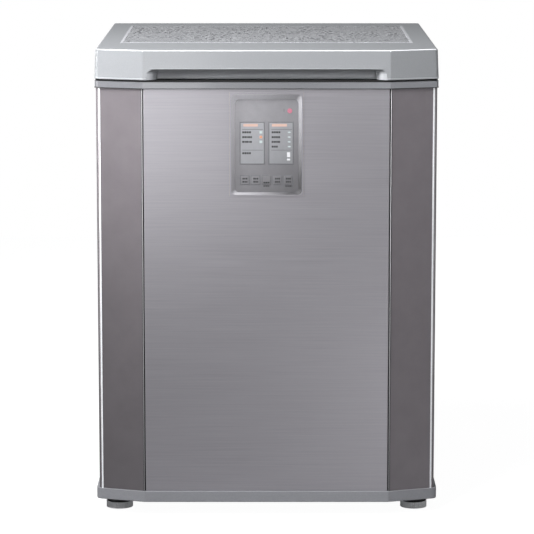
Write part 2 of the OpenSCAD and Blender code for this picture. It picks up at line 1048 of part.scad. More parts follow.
module hinge_brackets() {
    color("#c3c4c7")
        hinge_places()
            difference() {
                union() {
                    block(
                        [-hinge_w / 2, back_y, bracket_top - bracket_h],
                        [hinge_w / 2, back_y + hinge_t, bracket_top]
                    );
                    for (x = [-hinge_w / 2, hinge_w / 2 - ear_t]) {
                        block([x, back_y, bracket_top - bracket_h], [x + ear_t, axis_y + 3, bracket_top]);
                        block([x, axis_y - 6, bracket_top - 1], [x + ear_t, axis_y + 3, axis_z]);
                        rod_x([x, axis_y, axis_z], knuckle_r, ear_t);
                    }
                }
                rod_x([-hinge_w, axis_y, axis_z], pin_r + running, 2 * hinge_w);
                bracket_screw_places()
                    rod_y([0, back_y - 1, 0], screw_r + 0.1, 5);
            }
}

module bracket_screw_places() {
    for (x = [-14, 14], z = [bracket_top - 14, bracket_top - bracket_h + 18])
        translate([x, 0, z])
            children();
}

leaf_z = lid_z + 5;

module leaf_screw_places() {
    for (x = [-16, 16])
        translate([x, 0, leaf_z + leaf_h - 12])
            children();
}

module hinge_screw_shanks(e) {
    hinge_places()
        bracket_screw_places()
            rod_y([0, back_y - 2, 0], screw_r + e, 5);
}

module hinge_screws() {
    color("#d2d3d5")
        hinge_places()
            bracket_screw_places() {
                rod_y([0, back_y - sheet_t, 0], screw_r, sheet_t + hinge_t + 0.5);
                rod_y([0, back_y + hinge_t, 0], 2 * screw_r, 2.2);
            }
}

module hinge_pins() {
    color("#d2d3d5")
        hinge_places() {
            rod_x([-hinge_w / 2 - 2, axis_y, axis_z], pin_r, hinge_w + 4);
            for (x = [-hinge_w / 2 - 2, hinge_w / 2 + 0.1])
                rod_x([x, axis_y, axis_z], pin_r + 1.5, 1.9);
        }
}

// Torsion springs wound round the pins, between each leaf's knuckle and the far ear
module hinge_springs() {
    spring_x = knuckle_w - hinge_w / 2 + ear_t + 1;
    spring_end = hinge_w / 2 - ear_t - 0.5;
    color("#5a5b5e")
        hinge_places()
            difference() {
                rod_x([spring_x, axis_y, axis_z], knuckle_r - 0.5, spring_end - spring_x);
                rod_x([spring_x - 1, axis_y, axis_z], pin_r + running, spring_end - spring_x + 2);
            }
}

module hinge_leaves() {
    knuckle_x = -hinge_w / 2 + ear_t + 0.3;
    color("#c3c4c7")
        hinge_places()
            difference() {
                union() {
                    block(
                        [-hinge_w / 2 + 5, back_y, leaf_z],
                        [hinge_w / 2 - 5, back_y + hinge_t, leaf_z + leaf_h]
                    );
                    block(
                        [knuckle_x, back_y + 0.5, axis_z],
                        [knuckle_x + knuckle_w, axis_y + pin_r + 1, leaf_z + 6]
                    );
                    block(
                        [knuckle_x, back_y, leaf_z],
                        [knuckle_x + knuckle_w, axis_y, leaf_z + 6]
                    );
                    rod_x([knuckle_x, axis_y, axis_z], knuckle_r - 0.5, knuckle_w);
                }
                rod_x([-hinge_w, axis_y, axis_z], pin_r + running, 2 * hinge_w);
            }
    color("#d2d3d5")
        hinge_places()
            leaf_screw_places()
                rod_y([0, back_y + hinge_t - 0.5, 0], 2 * screw_r, 2.5);
}

// Feet and rollers

module foot_nuts() {
    color("#8f9093")
        both_sides()
            translate([half_w - foot_side, foot_y, nut_z])
                difference() {
                    cylinder(r = nut_r, h = panel_z - nut_z);
                    translate([0, 0, -1])
                        cylinder(r = stem_r + running, h = panel_z - nut_z + 0.5);
                }
}

module foot(side) {
    notches = 36;
    neck_z = foot_t + 2.5;
    color("#77787c")
        translate([side * (half_w - foot_side), foot_y, 0]) {
            difference() {
                cylinder(r = foot_r, h = foot_t);
                for (i = [0 : notches - 1])
                    rotate([0, 0, 360 * i / notches])
                        translate([foot_r + 0.4, 0, 2])
                            cylinder(r = 1.3, h = foot_t, $fn = 24);
            }
            translate([0, 0, foot_t])
                cylinder(r = foot_r - 7, h = neck_z - foot_t);
            translate([0, 0, neck_z])
                cylinder(r = nut_r, h = nut_z - seat - neck_z);
            translate([0, 0, foot_t])
                cylinder(r = stem_r, h = panel_z - 1 - foot_t);
        }
}

module foot_left() { foot(-1); }
module foot_right() { foot(1); }

module roller_brackets() {
    fork_x = roller_w / 2 + fork_gap;
    color("#8f9093")
        both_sides()
            translate([half_w - roller_side, roller_y, 0])
                difference() {
                    block(
                        [-fork_x - fork_t, -17, roller_r - 8],
                        [fork_x + fork_t, 17, panel_z]
                    );
                    block([-fork_x, -18, 0], [fork_x, 18, panel_z - fork_t]);
                    rod_x([-50, 0, roller_r], axle_r + running, 100);
                }
}

module roller_axles() {
    length = roller_w + 2 * fork_gap + 2 * fork_t + 3;
    color("#c3c4c7")
        both_sides()
            translate([half_w - roller_side, roller_y, roller_r]) {
                rod_x([-length / 2, 0, 0], axle_r, length);
                for (x = [-length / 2 - 1.5, length / 2])
                    rod_x([x, 0, 0], axle_r + 2, 1.5);
            }
}

module roller(side) {
    color("#2c2c2e")
        translate([side * (half_w - roller_side) - roller_w / 2, roller_y, roller_r])
            difference() {
                rod_x([0, 0, 0], roller_r, roller_w);
                rod_x([-1, 0, 0], axle_r + running, roller_w + 2);
            }
}

module roller_left() { roller(-1); }
module roller_right() { roller(1); }

// Kimchi tubs: a deep pair in front of the step and a smaller pair on it

tub_gap = 6;
tub_wall = 2.5;
tub_lid_t = 8;
tub_h = 200;
tub_r = 22;

function tub_low(side, rear) = [
    side < 0 ? tub_gap - inside_x : tub_gap / 2,
    rear ? step_y + tub_gap : inside_front + tub_gap,
    rear ? step_z : inside_floor
];

function tub_high(side, rear) = [
    side < 0 ? -tub_gap / 2 : inside_x - tub_gap,
    rear ? inside_back - tub_gap : step_y - tub_gap,
    (rear ? step_z : inside_floor) + tub_h
];

module tub(side, rear) {
    low = tub_low(side, rear);
    high = tub_high(side, rear);
    wall = [tub_wall, tub_wall, tub_wall];
    inset = [2, 2, 0];
    color("#dfe3e4")
        difference() {
            union() {
                rounded_block(low + inset, high - inset, tub_r);
                rounded_block(
                    [low.x + 0.5, low.y + 0.5, high.z - 14],
                    [high.x - 0.5, high.y - 0.5, high.z - 8],
                    tub_r + 1.5
                );
            }
            rounded_block(
                low + inset + wall,
                [high.x - 2 - tub_wall, high.y - 2 - tub_wall, high.z + 1],
                tub_r - tub_wall
            );
        }
}

module tub_front_left() { tub(-1, false); }
module tub_front_right() { tub(1, false); }
module tub_rear_left() { tub(-1, true); }
module tub_rear_right() { tub(1, true); }

module tub_lid(side, rear) {
    low = tub_low(side, rear);
    high = tub_high(side, rear);
    color("#7f9a86")
        difference() {
            rounded_block(
                [low.x, low.y, high.z - 7.7],
                [high.x, high.y, high.z + tub_lid_t - 4],
                tub_r + 2
            );
            rounded_block(
                [low.x + 1.8, low.y + 1.8, high.z - 9],
                [high.x - 1.8, high.y - 1.8, high.z],
                tub_r
            );
            rounded_block(
                [low.x + 14, low.y + 14, high.z + 2.2],
                [high.x - 14, high.y - 14, high.z + tub_lid_t],
                tub_r - 8
            );
        }
}

module tub_lids_front() {
    for (side = [-1, 1])
        tub_lid(side, false);
}

module tub_lids_rear() {
    for (side = [-1, 1])
        tub_lid(side, true);
}

// Lid

module lid_body() {
    edge_z = top_z - lid_edge_r;
    top_e = lid_proud - lid_draft;
    hull() {
        translate([0, 0, lid_z])
            plan(lid_proud, 0, 0.1);
        for (a = [0, 30, 60, 85]) {
            drawn_in = lid_edge_r * (1 - cos(a));
            translate([0, 0, edge_z + lid_edge_r * sin(a) - 0.1])
                plan(top_e - drawn_in, -drawn_in, 0.1);
        }
        translate([0, 0, top_z - 0.1])
            plan(top_e - lid_edge_r, -lid_edge_r, 0.1);
    }
}

lid_front = front_y - lid_proud;

// Scoop that the fingers reach into from below, grown by e for its wall
module scoop(e) {
    intersection() {
        translate([-scoop_w / 2 - e, 0, 0])
            rotate([90, 0, 90])
                linear_extrude(scoop_w + 2 * e)
                    polygon(concat(
                        [[lid_front - 10, lid_z - 5], [lid_front + scoop_d + e, lid_z - 5]],
                        [for (a = [0 : 15 : 90])
                            [
                                lid_front + (scoop_d + e) * cos(a),
                                lid_z + 2 + (scoop_h - 2 + e) * sin(a)
                            ]],
                        [[lid_front - 10, lid_z + scoop_h + e]]
                    ));
        translate([0, back_y, 0])
            rotate([90, 0, 0])
                linear_extrude(body_d + 20)
                    polygon(rounded(
                        [
                            [scoop_w / 2 + e, lid_z - 6], [scoop_w / 2 + e, lid_z + scoop_h + e],
                            [-scoop_w / 2 - e, lid_z + scoop_h + e], [-scoop_w / 2 - e, lid_z - 6]
                        ],
                        [0, 14, 14, 0]
                    ));
    }
}

decor_low = [-decor_w / 2, lid_front + decor_front, top_z - decor_t];
decor_high = [decor_w / 2, back_y - decor_back, top_z];
decor_r = 6;

module lid_cover() {
    color("#c9cacd")
        difference() {
            lid_body();
            difference() {
                translate([0, 0, lid_z - 1])
                    plan(lid_proud - lid_draft - mould_t, -mould_t, lid_h - lid_top_t + 1);
                scoop(mould_t);
            }
            scoop(0);
            rounded_block(decor_low, decor_high + [0, 0, 1], decor_r);
        }
}

module lid_decor_panel() {
    inset = [0.2, 0.2, 0];
    color("#a1a2a6")
        rounded_block(decor_low + inset, decor_high - inset - [0, 0, 0.2], decor_r);
}

liner_plate_t = 2;

module lid_insulation() {
    color("#e6d9a8")
        difference() {
            union() {
                translate([0, 0, lid_z + liner_plate_t])
                    plan(lid_proud - lid_draft - mould_t, -mould_t, lid_h - lid_top_t - liner_plate_t);
                plug(-liner_plate_t, lid_z + liner_plate_t + 1);
            }
            scoop(mould_t);
        }
}

// Plug of the lid's underside that hangs inside the rim, grown by e
module plug(e, top) {
    edge = rim_overhang + plug_gap - e;
    rounded_block(
        [edge - inside_x, inside_front + edge, rim_z - plug_depth - e],
        [inside_x - edge, inside_back - edge, top],
        liner_r - 6 + e
    );
}

module lid_liner() {
    color("#e4e5e6")
        difference() {
            union() {
                translate([0, 0, lid_z])
                    plan(lid_proud - lid_draft - mould_t - 0.1, -mould_t - 0.1, liner_plate_t);
                plug(0, lid_z + 1);
            }
            plug(-liner_plate_t, lid_z + liner_plate_t + 1);
            scoop(mould_t + 0.1);
        }
}

module gasket_ring(e, z, h) {
    edge = rim_overhang - plug_gap - e;
    rounded_block(
        [edge - inside_x, inside_front + edge, z],
        [inside_x - edge, inside_back - edge, z + h],
        liner_r + 4 + e
    );
}

module lid_gasket() {
    color("#3a3b3d")
        difference() {
            gasket_ring(gasket_w / 2, rim_z, lid_gap);
            gasket_ring(-gasket_w / 2, rim_z - 1, lid_gap + 2);
        }
}

side_panel_left();
side_panel_right();
back_panel();
front_panel();
corner_pillar_left();
corner_pillar_right();
top_frame();
base_skirt();
bottom_plate();
inner_liner();
cabinet_insulation();
evaporator_tube();
temperature_sensor();
control_bezel();
control_plate();
display_windows();
indicator_lamps();
control_board();
main_board_box();
compressor();
compressor_cover();
compressor_grommets();
condenser_coil();
fan_shroud();
fan_motor();
fan_blade();
filter_dryer();
refrigerant_pipes();
rear_grille();
grille_screws();
cord_gland();
hinge_brackets();
hinge_pins();
hinge_springs();
hinge_screws();
roller_brackets();
roller_axles();
foot_nuts();
tub_front_left();
tub_front_right();
tub_rear_left();
tub_rear_right();
tub_lids_front();
tub_lids_rear();
lid_cover();
lid_decor_panel();
lid_insulation();
lid_liner();
lid_gasket();
hinge_leaves();
key_1();
key_2();
key_3();
key_4();
key_5();
foot_left();
foot_right();
roller_left();
roller_right();
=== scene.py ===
"""Looks of the top-opening kimchi refrigerator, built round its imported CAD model.

The front faces -Y, Z is up, and the numbers in the tables are millimetres.
"""
import json
import math

import bmesh
import bpy
from mathutils import Matrix, Vector


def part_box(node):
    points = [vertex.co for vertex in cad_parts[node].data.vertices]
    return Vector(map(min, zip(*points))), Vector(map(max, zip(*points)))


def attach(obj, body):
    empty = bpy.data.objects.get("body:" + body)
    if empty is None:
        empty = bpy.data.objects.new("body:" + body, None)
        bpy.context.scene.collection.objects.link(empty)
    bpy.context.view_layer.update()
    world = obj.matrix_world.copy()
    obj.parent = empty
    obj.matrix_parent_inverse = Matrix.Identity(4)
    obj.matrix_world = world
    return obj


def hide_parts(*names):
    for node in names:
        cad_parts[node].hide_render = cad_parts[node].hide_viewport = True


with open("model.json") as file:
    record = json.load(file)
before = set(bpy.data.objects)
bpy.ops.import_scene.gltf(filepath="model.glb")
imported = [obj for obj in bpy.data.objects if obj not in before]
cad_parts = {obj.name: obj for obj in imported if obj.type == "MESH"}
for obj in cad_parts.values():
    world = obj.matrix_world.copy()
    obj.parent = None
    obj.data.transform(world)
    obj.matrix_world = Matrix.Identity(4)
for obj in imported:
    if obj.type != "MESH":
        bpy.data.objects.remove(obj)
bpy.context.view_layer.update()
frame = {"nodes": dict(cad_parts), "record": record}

MM = 0.001
TO_METRES = Matrix.Scale(MM, 4)
NODES = frame["nodes"]
BODY_OF = {node: body for body, members in frame["record"]["behaviour"]["bodies"].items()
           for node in members}
SLOT_OF = {row["node"]: row["material_slot"] for row in frame["record"]["subparts"]}


# ---------------------------------------------------------------- camera, lights and floor

# The camera stands far off, a little above the lid; its pitch is in degrees and its lens in mm
CAMERA_AT = (0.7, -5158.5, 1215.5)
CAMERA_PITCH = 9.084
LENS = 190.0

# Name, place, aim and size in metres, power in watts, spread in degrees, and if it shows in gloss only
LAMPS = (
    # Soft light from the front on the upper left of the panel
    ("key", (-0.37, -1.3, 0.71), (-0.22, -0.32, 0.58), (0.5, 0.33), 0.82, 90, False),
    # The lid's bright left facet, and its dimmer right one
    ("side_left", (-1.25, -0.65, 0.95), (-0.29, -0.3, 0.8), (0.3, 0.3), 0.78, 40, False),
    ("side_right", (0.6, -1.2, 1.05), (0.25, -0.3, 0.78), (0.3, 0.3), 0.75, 80, False),
    # The main light, from above and the left
    ("overhead", (-0.8, -0.85, 2.1), (-0.2, -0.2, 0.82), (1.5, 0.9), 23.5, 90, False),
    # Tall panels that the pillars and the steel mirror
    ("strip_left", (-1.3, -0.75, 0.38), (-0.3, -0.3, 0.38), (0.5, 0.8), 6.5, 180, True),
    ("strip_right", (1.45, -0.6, 0.38), (0.3, -0.3, 0.38), (0.5, 0.8), 3.5, 180, True),
    # A little light near the floor
    ("fill", (0.42, -1.3, 0.08), (0.22, -0.3, 0.0), (0.4, 0.2), 0.6, 130, False),
)


def make_camera():
    data = bpy.data.cameras.new("camera")
    data.lens = LENS
    data.sensor_width = 36
    camera = bpy.data.objects.new("camera", data)
    camera.location = Vector(CAMERA_AT) * MM
    camera.rotation_euler = (math.radians(90 - CAMERA_PITCH), 0, 0)
    bpy.context.scene.collection.objects.link(camera)
    bpy.context.scene.camera = camera


def make_lamp(name, at, aim, size, power, spread, gloss_only):
    """A flat lamp that faces its aim; one that is gloss_only shows in reflections and lights nothing."""
    data = bpy.data.lights.new(name, "AREA")
    data.shape = "RECTANGLE"
    data.size, data.size_y = size
    data.energy = power
    data.spread = math.radians(spread)
    lamp = bpy.data.objects.new(name, data)
    lamp.location = at
    lamp.rotation_euler = (Vector(aim) - Vector(at)).to_track_quat("-Z", "Y").to_euler()
    lamp.visible_camera = False
    lamp.visible_diffuse = not gloss_only
    bpy.context.scene.collection.objects.link(lamp)


def srgb(code):
    """Linear colour of an sRGB hex value."""
    parts = [int(code[i:i + 2], 16) / 255 for i in (1, 3, 5)]
    return [p / 12.92 if p <= 0.04045 else ((p + 0.055) / 1.055) ** 2.4 for p in parts] + [1]


def add(tree, kind, inputs=None, **settings):
    """Adds one node with its settings, and sets or links its inputs."""
    node = tree.nodes.new("ShaderNode" + kind)
    for name, value in settings.items():
        setattr(node, name, value)
    for name, value in (inputs or {}).items():
        if isinstance(value, bpy.types.NodeSocket):
            tree.links.new(value, node.inputs[name])
        else:
            node.inputs[name].default_value = value
    return node


def make_world():
    """A pale studio all round, which the camera sees as plain white."""
    world = bpy.data.worlds.new("studio")
    bpy.context.scene.world = world
    world.use_nodes = True
    tree = world.node_tree
    tree.nodes.clear()
    at = add(tree, "TexCoord").outputs["Generated"]
    split = add(tree, "SeparateXYZ", {0: at})
    # Pale in front, and dimmer at the sides and behind
    level = add(tree, "MapRange", {"Value": split.outputs["Y"], "From Min": -0.9, "From Max": -0.2,
                                   "To Min": 0.22, "To Max": 0.16})
    soft = add(tree, "Background", {"Color": srgb("#f4f5f8"), "Strength": level.outputs[0]})
    white = add(tree, "Background", {"Color": (1, 1, 1, 1), "Strength": 1})
    path = add(tree, "LightPath")
    mix = add(tree, "MixShader", {0: path.outputs["Is Camera Ray"], 1: soft.outputs[0],
                                  2: white.outputs[0]})
    add(tree, "OutputWorld", {"Surface": mix.outputs[0]})


def new_material(name):
    material = bpy.data.materials.new(name)
    material.use_nodes = True
    material.node_tree.nodes.clear()
    return material, material.node_tree


def make_floor():
    mesh = bpy.data.meshes.new("floor")
    bm = bmesh.new()
    bmesh.ops.create_grid(bm, x_segments=2, y_segments=2, size=3)
    bm.to_mesh(mesh)
    bm.free()
    floor = bpy.data.objects.new("floor", mesh)
    bpy.context.scene.collection.objects.link(floor)
    # The camera sees it nearly white with a faint shadow; in gloss it is dimmer, and it lights little
    material, tree = new_material("pale floor")
    path = add(tree, "LightPath")
    seen = add(tree, "Math", {0: path.outputs["Is Camera Ray"], 1: path.outputs["Is Transmission Ray"]},
               operation="MAXIMUM")
    share = add(tree, "Math", {0: path.outputs["Is Glossy Ray"], 1: 0.27}, operation="MULTIPLY")
    share = add(tree, "Math", {0: seen.outputs[0], 1: share.outputs[0]}, operation="MAXIMUM")
    share = add(tree, "Math", {0: share.outputs[0], 1: 0.8}, operation="MULTIPLY")
    tone = add(tree, "Mix", {"Factor": seen.outputs[0], "A": srgb("#909092"), "B": srgb("#f4f4f4")},
               data_type="RGBA")
    pale = add(tree, "BsdfDiffuse", {"Color": tone.outputs["Result"]})
    white = add(tree, "Emission", {"Color": (1, 1, 1, 1), "Strength": 1.2})
    mix = add(tree, "MixShader", {0: share.outputs[0], 1: pale.outputs[0], 2: white.outputs[0]})
    add(tree, "OutputMaterial", {"Surface": mix.outputs[0]})
    mesh.materials.append(material)


# ---------------------------------------------------------------- materials

def surface(name, tones, mottle, roughness, grain=None, metallic=0.0, ior=1.5, coat=0.0,
            lacquer=0.08, stretch=(1, 1, 1), fade=None):
    """A finish whose colour and gloss wander a little between two tones.

    mottle is the size of the patches in mm, roughness its least and most, and grain the size
    and depth of the surface grain in mm. coat is the share of clear lacquer and lacquer its
    roughness. fade=(across, up, low, high, share) is painted shade: it darkens the colour along
    the line across, up in the front's plane, from the place high to the place low, where only
    the given share is left.
    """
    material, tree = new_material(name)
    at = add(tree, "TexCoord").outputs["Object"]
    place = add(tree, "Mapping", {"Vector": at, "Scale": stretch})
    patches = add(tree, "TexNoise", {"Vector": place.outputs[0], "Scale": 1 / (mottle * MM),
                                     "Detail": 4, "Roughness": 0.6})
    tone_a, tone_b = (srgb(t) for t in tones)
    spread = add(tree, "MapRange", {"Value": patches.outputs["Fac"], "From Min": 0.3, "From Max": 0.7})
    colour = add(tree, "Mix", {"Factor": spread.outputs[0], "A": tone_a, "B": tone_b}, data_type="RGBA")
    tone = colour.outputs["Result"]
    if fade:
        # Painted shade: the colour darkens along a line in the front's plane
        across, up, low, high, share = fade
        along = add(tree, "VectorMath", {0: at, 1: (across, 0, up)}, operation="DOT_PRODUCT")
        left = add(tree, "MapRange", {"Value": along.outputs["Value"], "From Min": low * MM,
                                      "From Max": high * MM, "To Min": share, "To Max": 1.0})
        tone = add(tree, "VectorMath", {0: tone, 1: left.outputs[0]}, operation="MULTIPLY").outputs[0]
    gloss = add(tree, "MapRange", {"Value": patches.outputs["Fac"], "From Min": 0.3, "From Max": 0.7,
                                   "To Min": roughness[0], "To Max": roughness[1]})
    shader = add(tree, "BsdfPrincipled", {"Base Color": tone,
                                          "Roughness": gloss.outputs[0], "Metallic": metallic,
                                          "IOR": ior, "Coat Weight": coat, "Coat Roughness": lacquer})
    if grain:
        size, depth = grain
        fine = add(tree, "TexNoise", {"Vector": place.outputs[0], "Scale": 1 / (size * MM), "Detail": 3})
        bump = add(tree, "Bump", {"Height": fine.outputs["Fac"], "Distance": depth * MM, "Strength": 1})
        tree.links.new(bump.outputs[0], shader.inputs["Normal"])
    add(tree, "OutputMaterial", {"Surface": shader.outputs[0]})
    return material


# Width of the decor's flecks in mm, and how strongly they show
DECOR_FLECKS = ((2.6, 1.6), (4.6, 0.7))


def decor_sheet():
    """Printed acrylic sheet: crystal flecks, pale and dark, that fade in places."""
    material, tree = new_material("crystal-printed acrylic sheet")
    at = add(tree, "TexCoord").outputs["Object"]
    # A fleck is nearly three times as long, front to back, as it is wide
    long = add(tree, "Mapping", {"Vector": at, "Scale": (1, 0.36, 1)}).outputs[0]
    fading = add(tree, "TexNoise", {"Vector": at, "Scale": 1 / 0.07, "Detail": 2})
    value = add(tree, "MapRange", {"Value": fading.outputs["Fac"], "From Min": 0.38, "From Max": 0.58,
                                   "To Min": 0.25, "To Max": 1.0}).outputs[0]
    flecks = []
    for width, strength in DECOR_FLECKS:
        cells = add(tree, "TexVoronoi", {"Vector": long, "Scale": 1 / (width * MM)})
        tint = add(tree, "SeparateColor", {0: cells.outputs["Color"]})
        signed = add(tree, "MapRange", {"Value": tint.outputs[0], "To Min": -1.0,
                                        "To Max": 1.0}).outputs[0]
        square = add(tree, "Math", {0: signed, 1: signed}, operation="MULTIPLY").outputs[0]
        cube = add(tree, "Math", {0: square, 1: signed}, operation="MULTIPLY").outputs[0]
        flecks.append(add(tree, "Math", {0: cube, 1: 0.5 * strength}, operation="MULTIPLY").outputs[0])
    both = add(tree, "Math", {0: flecks[0], 1: flecks[1]}, operation="ADD").outputs[0]
    faded = add(tree, "Math", {0: both, 1: value}, operation="MULTIPLY")
    factor = add(tree, "Math", {0: faded.outputs[0], 1: 0.5}, operation="ADD", use_clamp=True)
    colour = add(tree, "Mix", {"Factor": factor.outputs[0], "A": srgb("#505156"), "B": srgb("#d8dade")},
                 data_type="RGBA")
    gloss = add(tree, "MapRange", {"Value": factor.outputs[0], "To Min": 0.34, "To Max": 0.16})
    bump = add(tree, "Bump", {"Height": both, "Distance": 0.00003, "Strength": 0.2})
    shader = add(tree, "BsdfPrincipled", {"Base Color": colour.outputs["Result"],
                                          "Roughness": gloss.outputs[0], "Metallic": 0.1,
                                          "Normal": bump.outputs[0], "Coat Weight": 0.4,
                                          "Coat Roughness": 0.1})
    add(tree, "OutputMaterial", {"Surface": shader.outputs[0]})
    return material


# Hairline steel laminate under a clear film: fine lines run across, and a soft sheen lies over them
BRUSHED = surface("hairline steel laminate", ("#959398", "#9f9da2"), 1.2, (0.42, 0.5), (0.9, 0.02),
                  metallic=0.9, stretch=(0.008, 0.3, 1))
# High-gloss moulded ABS in a warm mauve grey: broad, soft reflections stand in it, and painted shade
# darkens the pillars towards the floor, the left one most
PILLAR = surface("gloss moulded ABS, mauve grey", ("#6c676b", "#716c70"), 40, (0.2, 0.26), (6, 0.01),
                 coat=0.35, lacquer=0.16, fade=(1.08, 1, -250, 400, 0.57))
# Silver-painted ABS of the lid: smooth, with a fine flake under the lacquer
LID_PAINT = surface("silver painted ABS", ("#848689", "#8a8c8f"), 1.5, (0.34, 0.42), (0.8, 0.004),
                    ior=1.3, coat=0.2, lacquer=0.14)
# The lid's paint in a lighter tone: painted highlight where an edge of the moulding catches the light,
# and painted light in the open scoop
LID_PAINT_PAINTED_LIGHT = surface("silver paint lightened as painted light", ("#9a9ca0", "#a0a2a6"), 3, (0.34, 0.42), (0.8, 0.004))
# Painted highlight on the lid's top edge: a pale facing, the brightest line on it
PAINTED_EDGE_HIGHLIGHT = surface("pale paint as a painted edge highlight", ("#dadbde", "#e1e2e5"), 3, (0.3, 0.38))
# Printed acrylic of the lid's top: pale flecks that glint between dark ones that stay dull
DECOR = decor_sheet()
# Silver print round the decor: flat, and duller than the paint
BORDER = surface("satin silver printed border", ("#97989c", "#a6a7ab"), 4, (0.5, 0.6), (2, 0.015))
# Silver grey moulded ABS: satin, and a little darker than the lid; painted shade darkens all but its
# right end
FRAME = surface("satin silver moulded ABS", ("#7a7b80", "#808185"), 3, (0.3, 0.36), (0.9, 0.006),
                coat=0.3, fade=(1, 0, 60, 280, 0.72))
# Grey moulded ABS of the skirt: duller than the frame
SKIRT = surface("satin grey moulded ABS", ("#87888d", "#8d8e92"), 3, (0.35, 0.45), (0.9, 0.012))
# Silver strips on the pillars' outer corners: smooth, and the brightest lines of the front; their
# near-white tone is partly a painted highlight
TRIM = surface("satin silver edge strip", ("#eeeff2", "#f6f7fa"), 3, (0.24, 0.3))
# Silver strips beside the steel panel: satin, with painted shade that darkens them towards the floor
SEAM = surface("satin silver seam strip", ("#c4c4c7", "#cbcbce"), 3, (0.3, 0.38),
               fade=(0, 1, 60, 700, 0.45))
# Near-black matt filler in the joints and in the gap under the lid: painted shade
SHADE_FILLER = surface("black filler as painted shade", ("#070708", "#0c0c0d"), 6, (0.8, 0.9), (1, 0.03))
# Silver paint on sheet steel: even, with a broad highlight and a faint orange peel
SHEET = surface("satin silver painted steel", ("#a4a5a9", "#aaabaf"), 60, (0.32, 0.38), (2.2, 0.012))
# Galvanised sheet: pale and grey zinc crystals
GALVANISED = surface("galvanised steel", ("#9da0a3", "#b4b6b8"), 14, (0.3, 0.45), (10, 0.01),
                     metallic=0.85)
# Embossed aluminium of the liner: shallow bumps that scatter the light
ALUMINIUM = surface("embossed aluminium", ("#c5c7ca", "#d2d4d7"), 8, (0.28, 0.36), (3.5, 0.12),
                    metallic=0.9)
# Polyurethane foam: cream yellow, matt and porous
FOAM = surface("rigid polyurethane foam", ("#d9c98c", "#e6d9a6"), 4, (0.7, 0.9), (1.2, 0.2))
# Drawn copper: warm, with a clear highlight
COPPER = surface("drawn copper tube", ("#a8663c", "#c07f50"), 12, (0.25, 0.4), metallic=1.0)
# White moulded ABS: clean, with a low gloss
WHITE = surface("white moulded ABS", ("#e2e3e3", "#e8e9e9"), 20, (0.3, 0.38), (1.2, 0.01))
# Silver bezel ABS: matt, so the shading of its slopes stays soft; painted shade darkens it strongly
# towards the lower right
BEZEL = surface("satin silver bezel ABS", ("#c5c4c9", "#cbcacf"), 3, (0.5, 0.58), (0.9, 0.006),
                ior=1.25, fade=(-1.4, 1, 515, 790, 0.1))
# Smoked acrylic of the control plate: glossy, with painted shade that darkens it towards the lower right
PLATE = surface("smoked grey acrylic", ("#8a898d", "#8f8e92"), 12, (0.2, 0.26), (3, 0.003), coat=0.2,
                fade=(-1, 1, 523, 770, 0.4))
# Frosted acrylic of the windows: paler than the plate, with a soft gloss and painted shade towards the
# lower right
WINDOW = surface("frosted pale acrylic", ("#919296", "#97989c"), 12, (0.3, 0.36), (1, 0.003),
                 fade=(-1, 1, 580, 740, 0.63))
# Key caps in the plate's grey, satin, with painted shade towards the lower right
KEY = surface("satin grey key ABS", ("#8a898d", "#8f8e92"), 3, (0.3, 0.4), (0.8, 0.005),
              fade=(-1, 1, 523, 770, 0.38))
# Green solder mask under lacquer
BOARD = surface("lacquered circuit board", ("#2f5c40", "#3a6b4b"), 5, (0.3, 0.4), (1, 0.02))
# Black lacquer on steel: deep, with a clear highlight
BLACK_STEEL = surface("black lacquered steel", ("#1b1c1d", "#232425"), 20, (0.25, 0.35), (2, 0.02))
# Black nylon, duller than the lacquer
BLACK_PLASTIC = surface("black moulded nylon", ("#1e1f20", "#262728"), 6, (0.45, 0.6), (0.8, 0.02))
# Rubber: the dullest black
RUBBER = surface("black rubber", ("#151516", "#1c1c1d"), 6, (0.65, 0.8), (0.6, 0.02))
# Grey polypropylene with a fine moulded texture
GRILLE = surface("grey moulded polypropylene", ("#6f7074", "#77787c"), 8, (0.45, 0.55), (0.9, 0.02))
# Zinc plate: bluish, mottled and shiny
ZINC = surface("zinc plated steel", ("#a9acb0", "#bfc1c5"), 7, (0.25, 0.4), (3, 0.01), metallic=0.9)
# Polypropylene of the tubs: milky and waxy
TUB = surface("milky polypropylene", ("#ccd3d4", "#d6dcdd"), 20, (0.3, 0.4), (1, 0.01))
# Polypropylene of the tubs' lids: matt, in a muted green
TUB_LID = surface("grey green polypropylene", ("#5d7266", "#66796e"), 12, (0.4, 0.5), (0.9, 0.015))
# Soft dark PVC: matt, so the gasket reads as a shadow
GASKET = surface("dark soft PVC", ("#1f2022", "#28292b"), 8, (0.5, 0.65), (1, 0.02))
# Pale grey nylon of the feet, which stand in the cabinet's shade
FOOT = surface("grey moulded nylon", ("#ecedee", "#f4f5f6"), 5, (0.45, 0.6), (0.8, 0.02))
# Screen-printed inks of the control panel: matt
INK = surface("dark grey ink", ("#202124", "#28292c"), 1.5, (0.5, 0.6))
LINE_INK = surface("mid grey ink", ("#5d5e62", "#636468"), 1.5, (0.5, 0.6))
ORANGE_INK = surface("pale orange ink", ("#b89a8e", "#bea094"), 2, (0.5, 0.6))
WHITE_INK = surface("white ink", ("#c6c7ca", "#cecfd2"), 2, (0.5, 0.6))
# Small polished lenses, and the fields that glow round them
LAMP_LIT = surface("lit amber lens", ("#c8743f", "#d0804c"), 1, (0.2, 0.3))
LAMP_DIM = surface("unlit clear lens", ("#b2c0c0", "#bbc8c8"), 1, (0.15, 0.25))
LAMP_RED = surface("red power lens", ("#ad6a7b", "#b57585"), 1.5, (0.2, 0.3))
GLOW_LIT = surface("amber glow in the window", ("#c99c84", "#cfa58e"), 1.5, (0.4, 0.5))
GLOW_DIM = surface("pale lamp field", ("#a6b3b3", "#adb9b9"), 1.5, (0.4, 0.5))

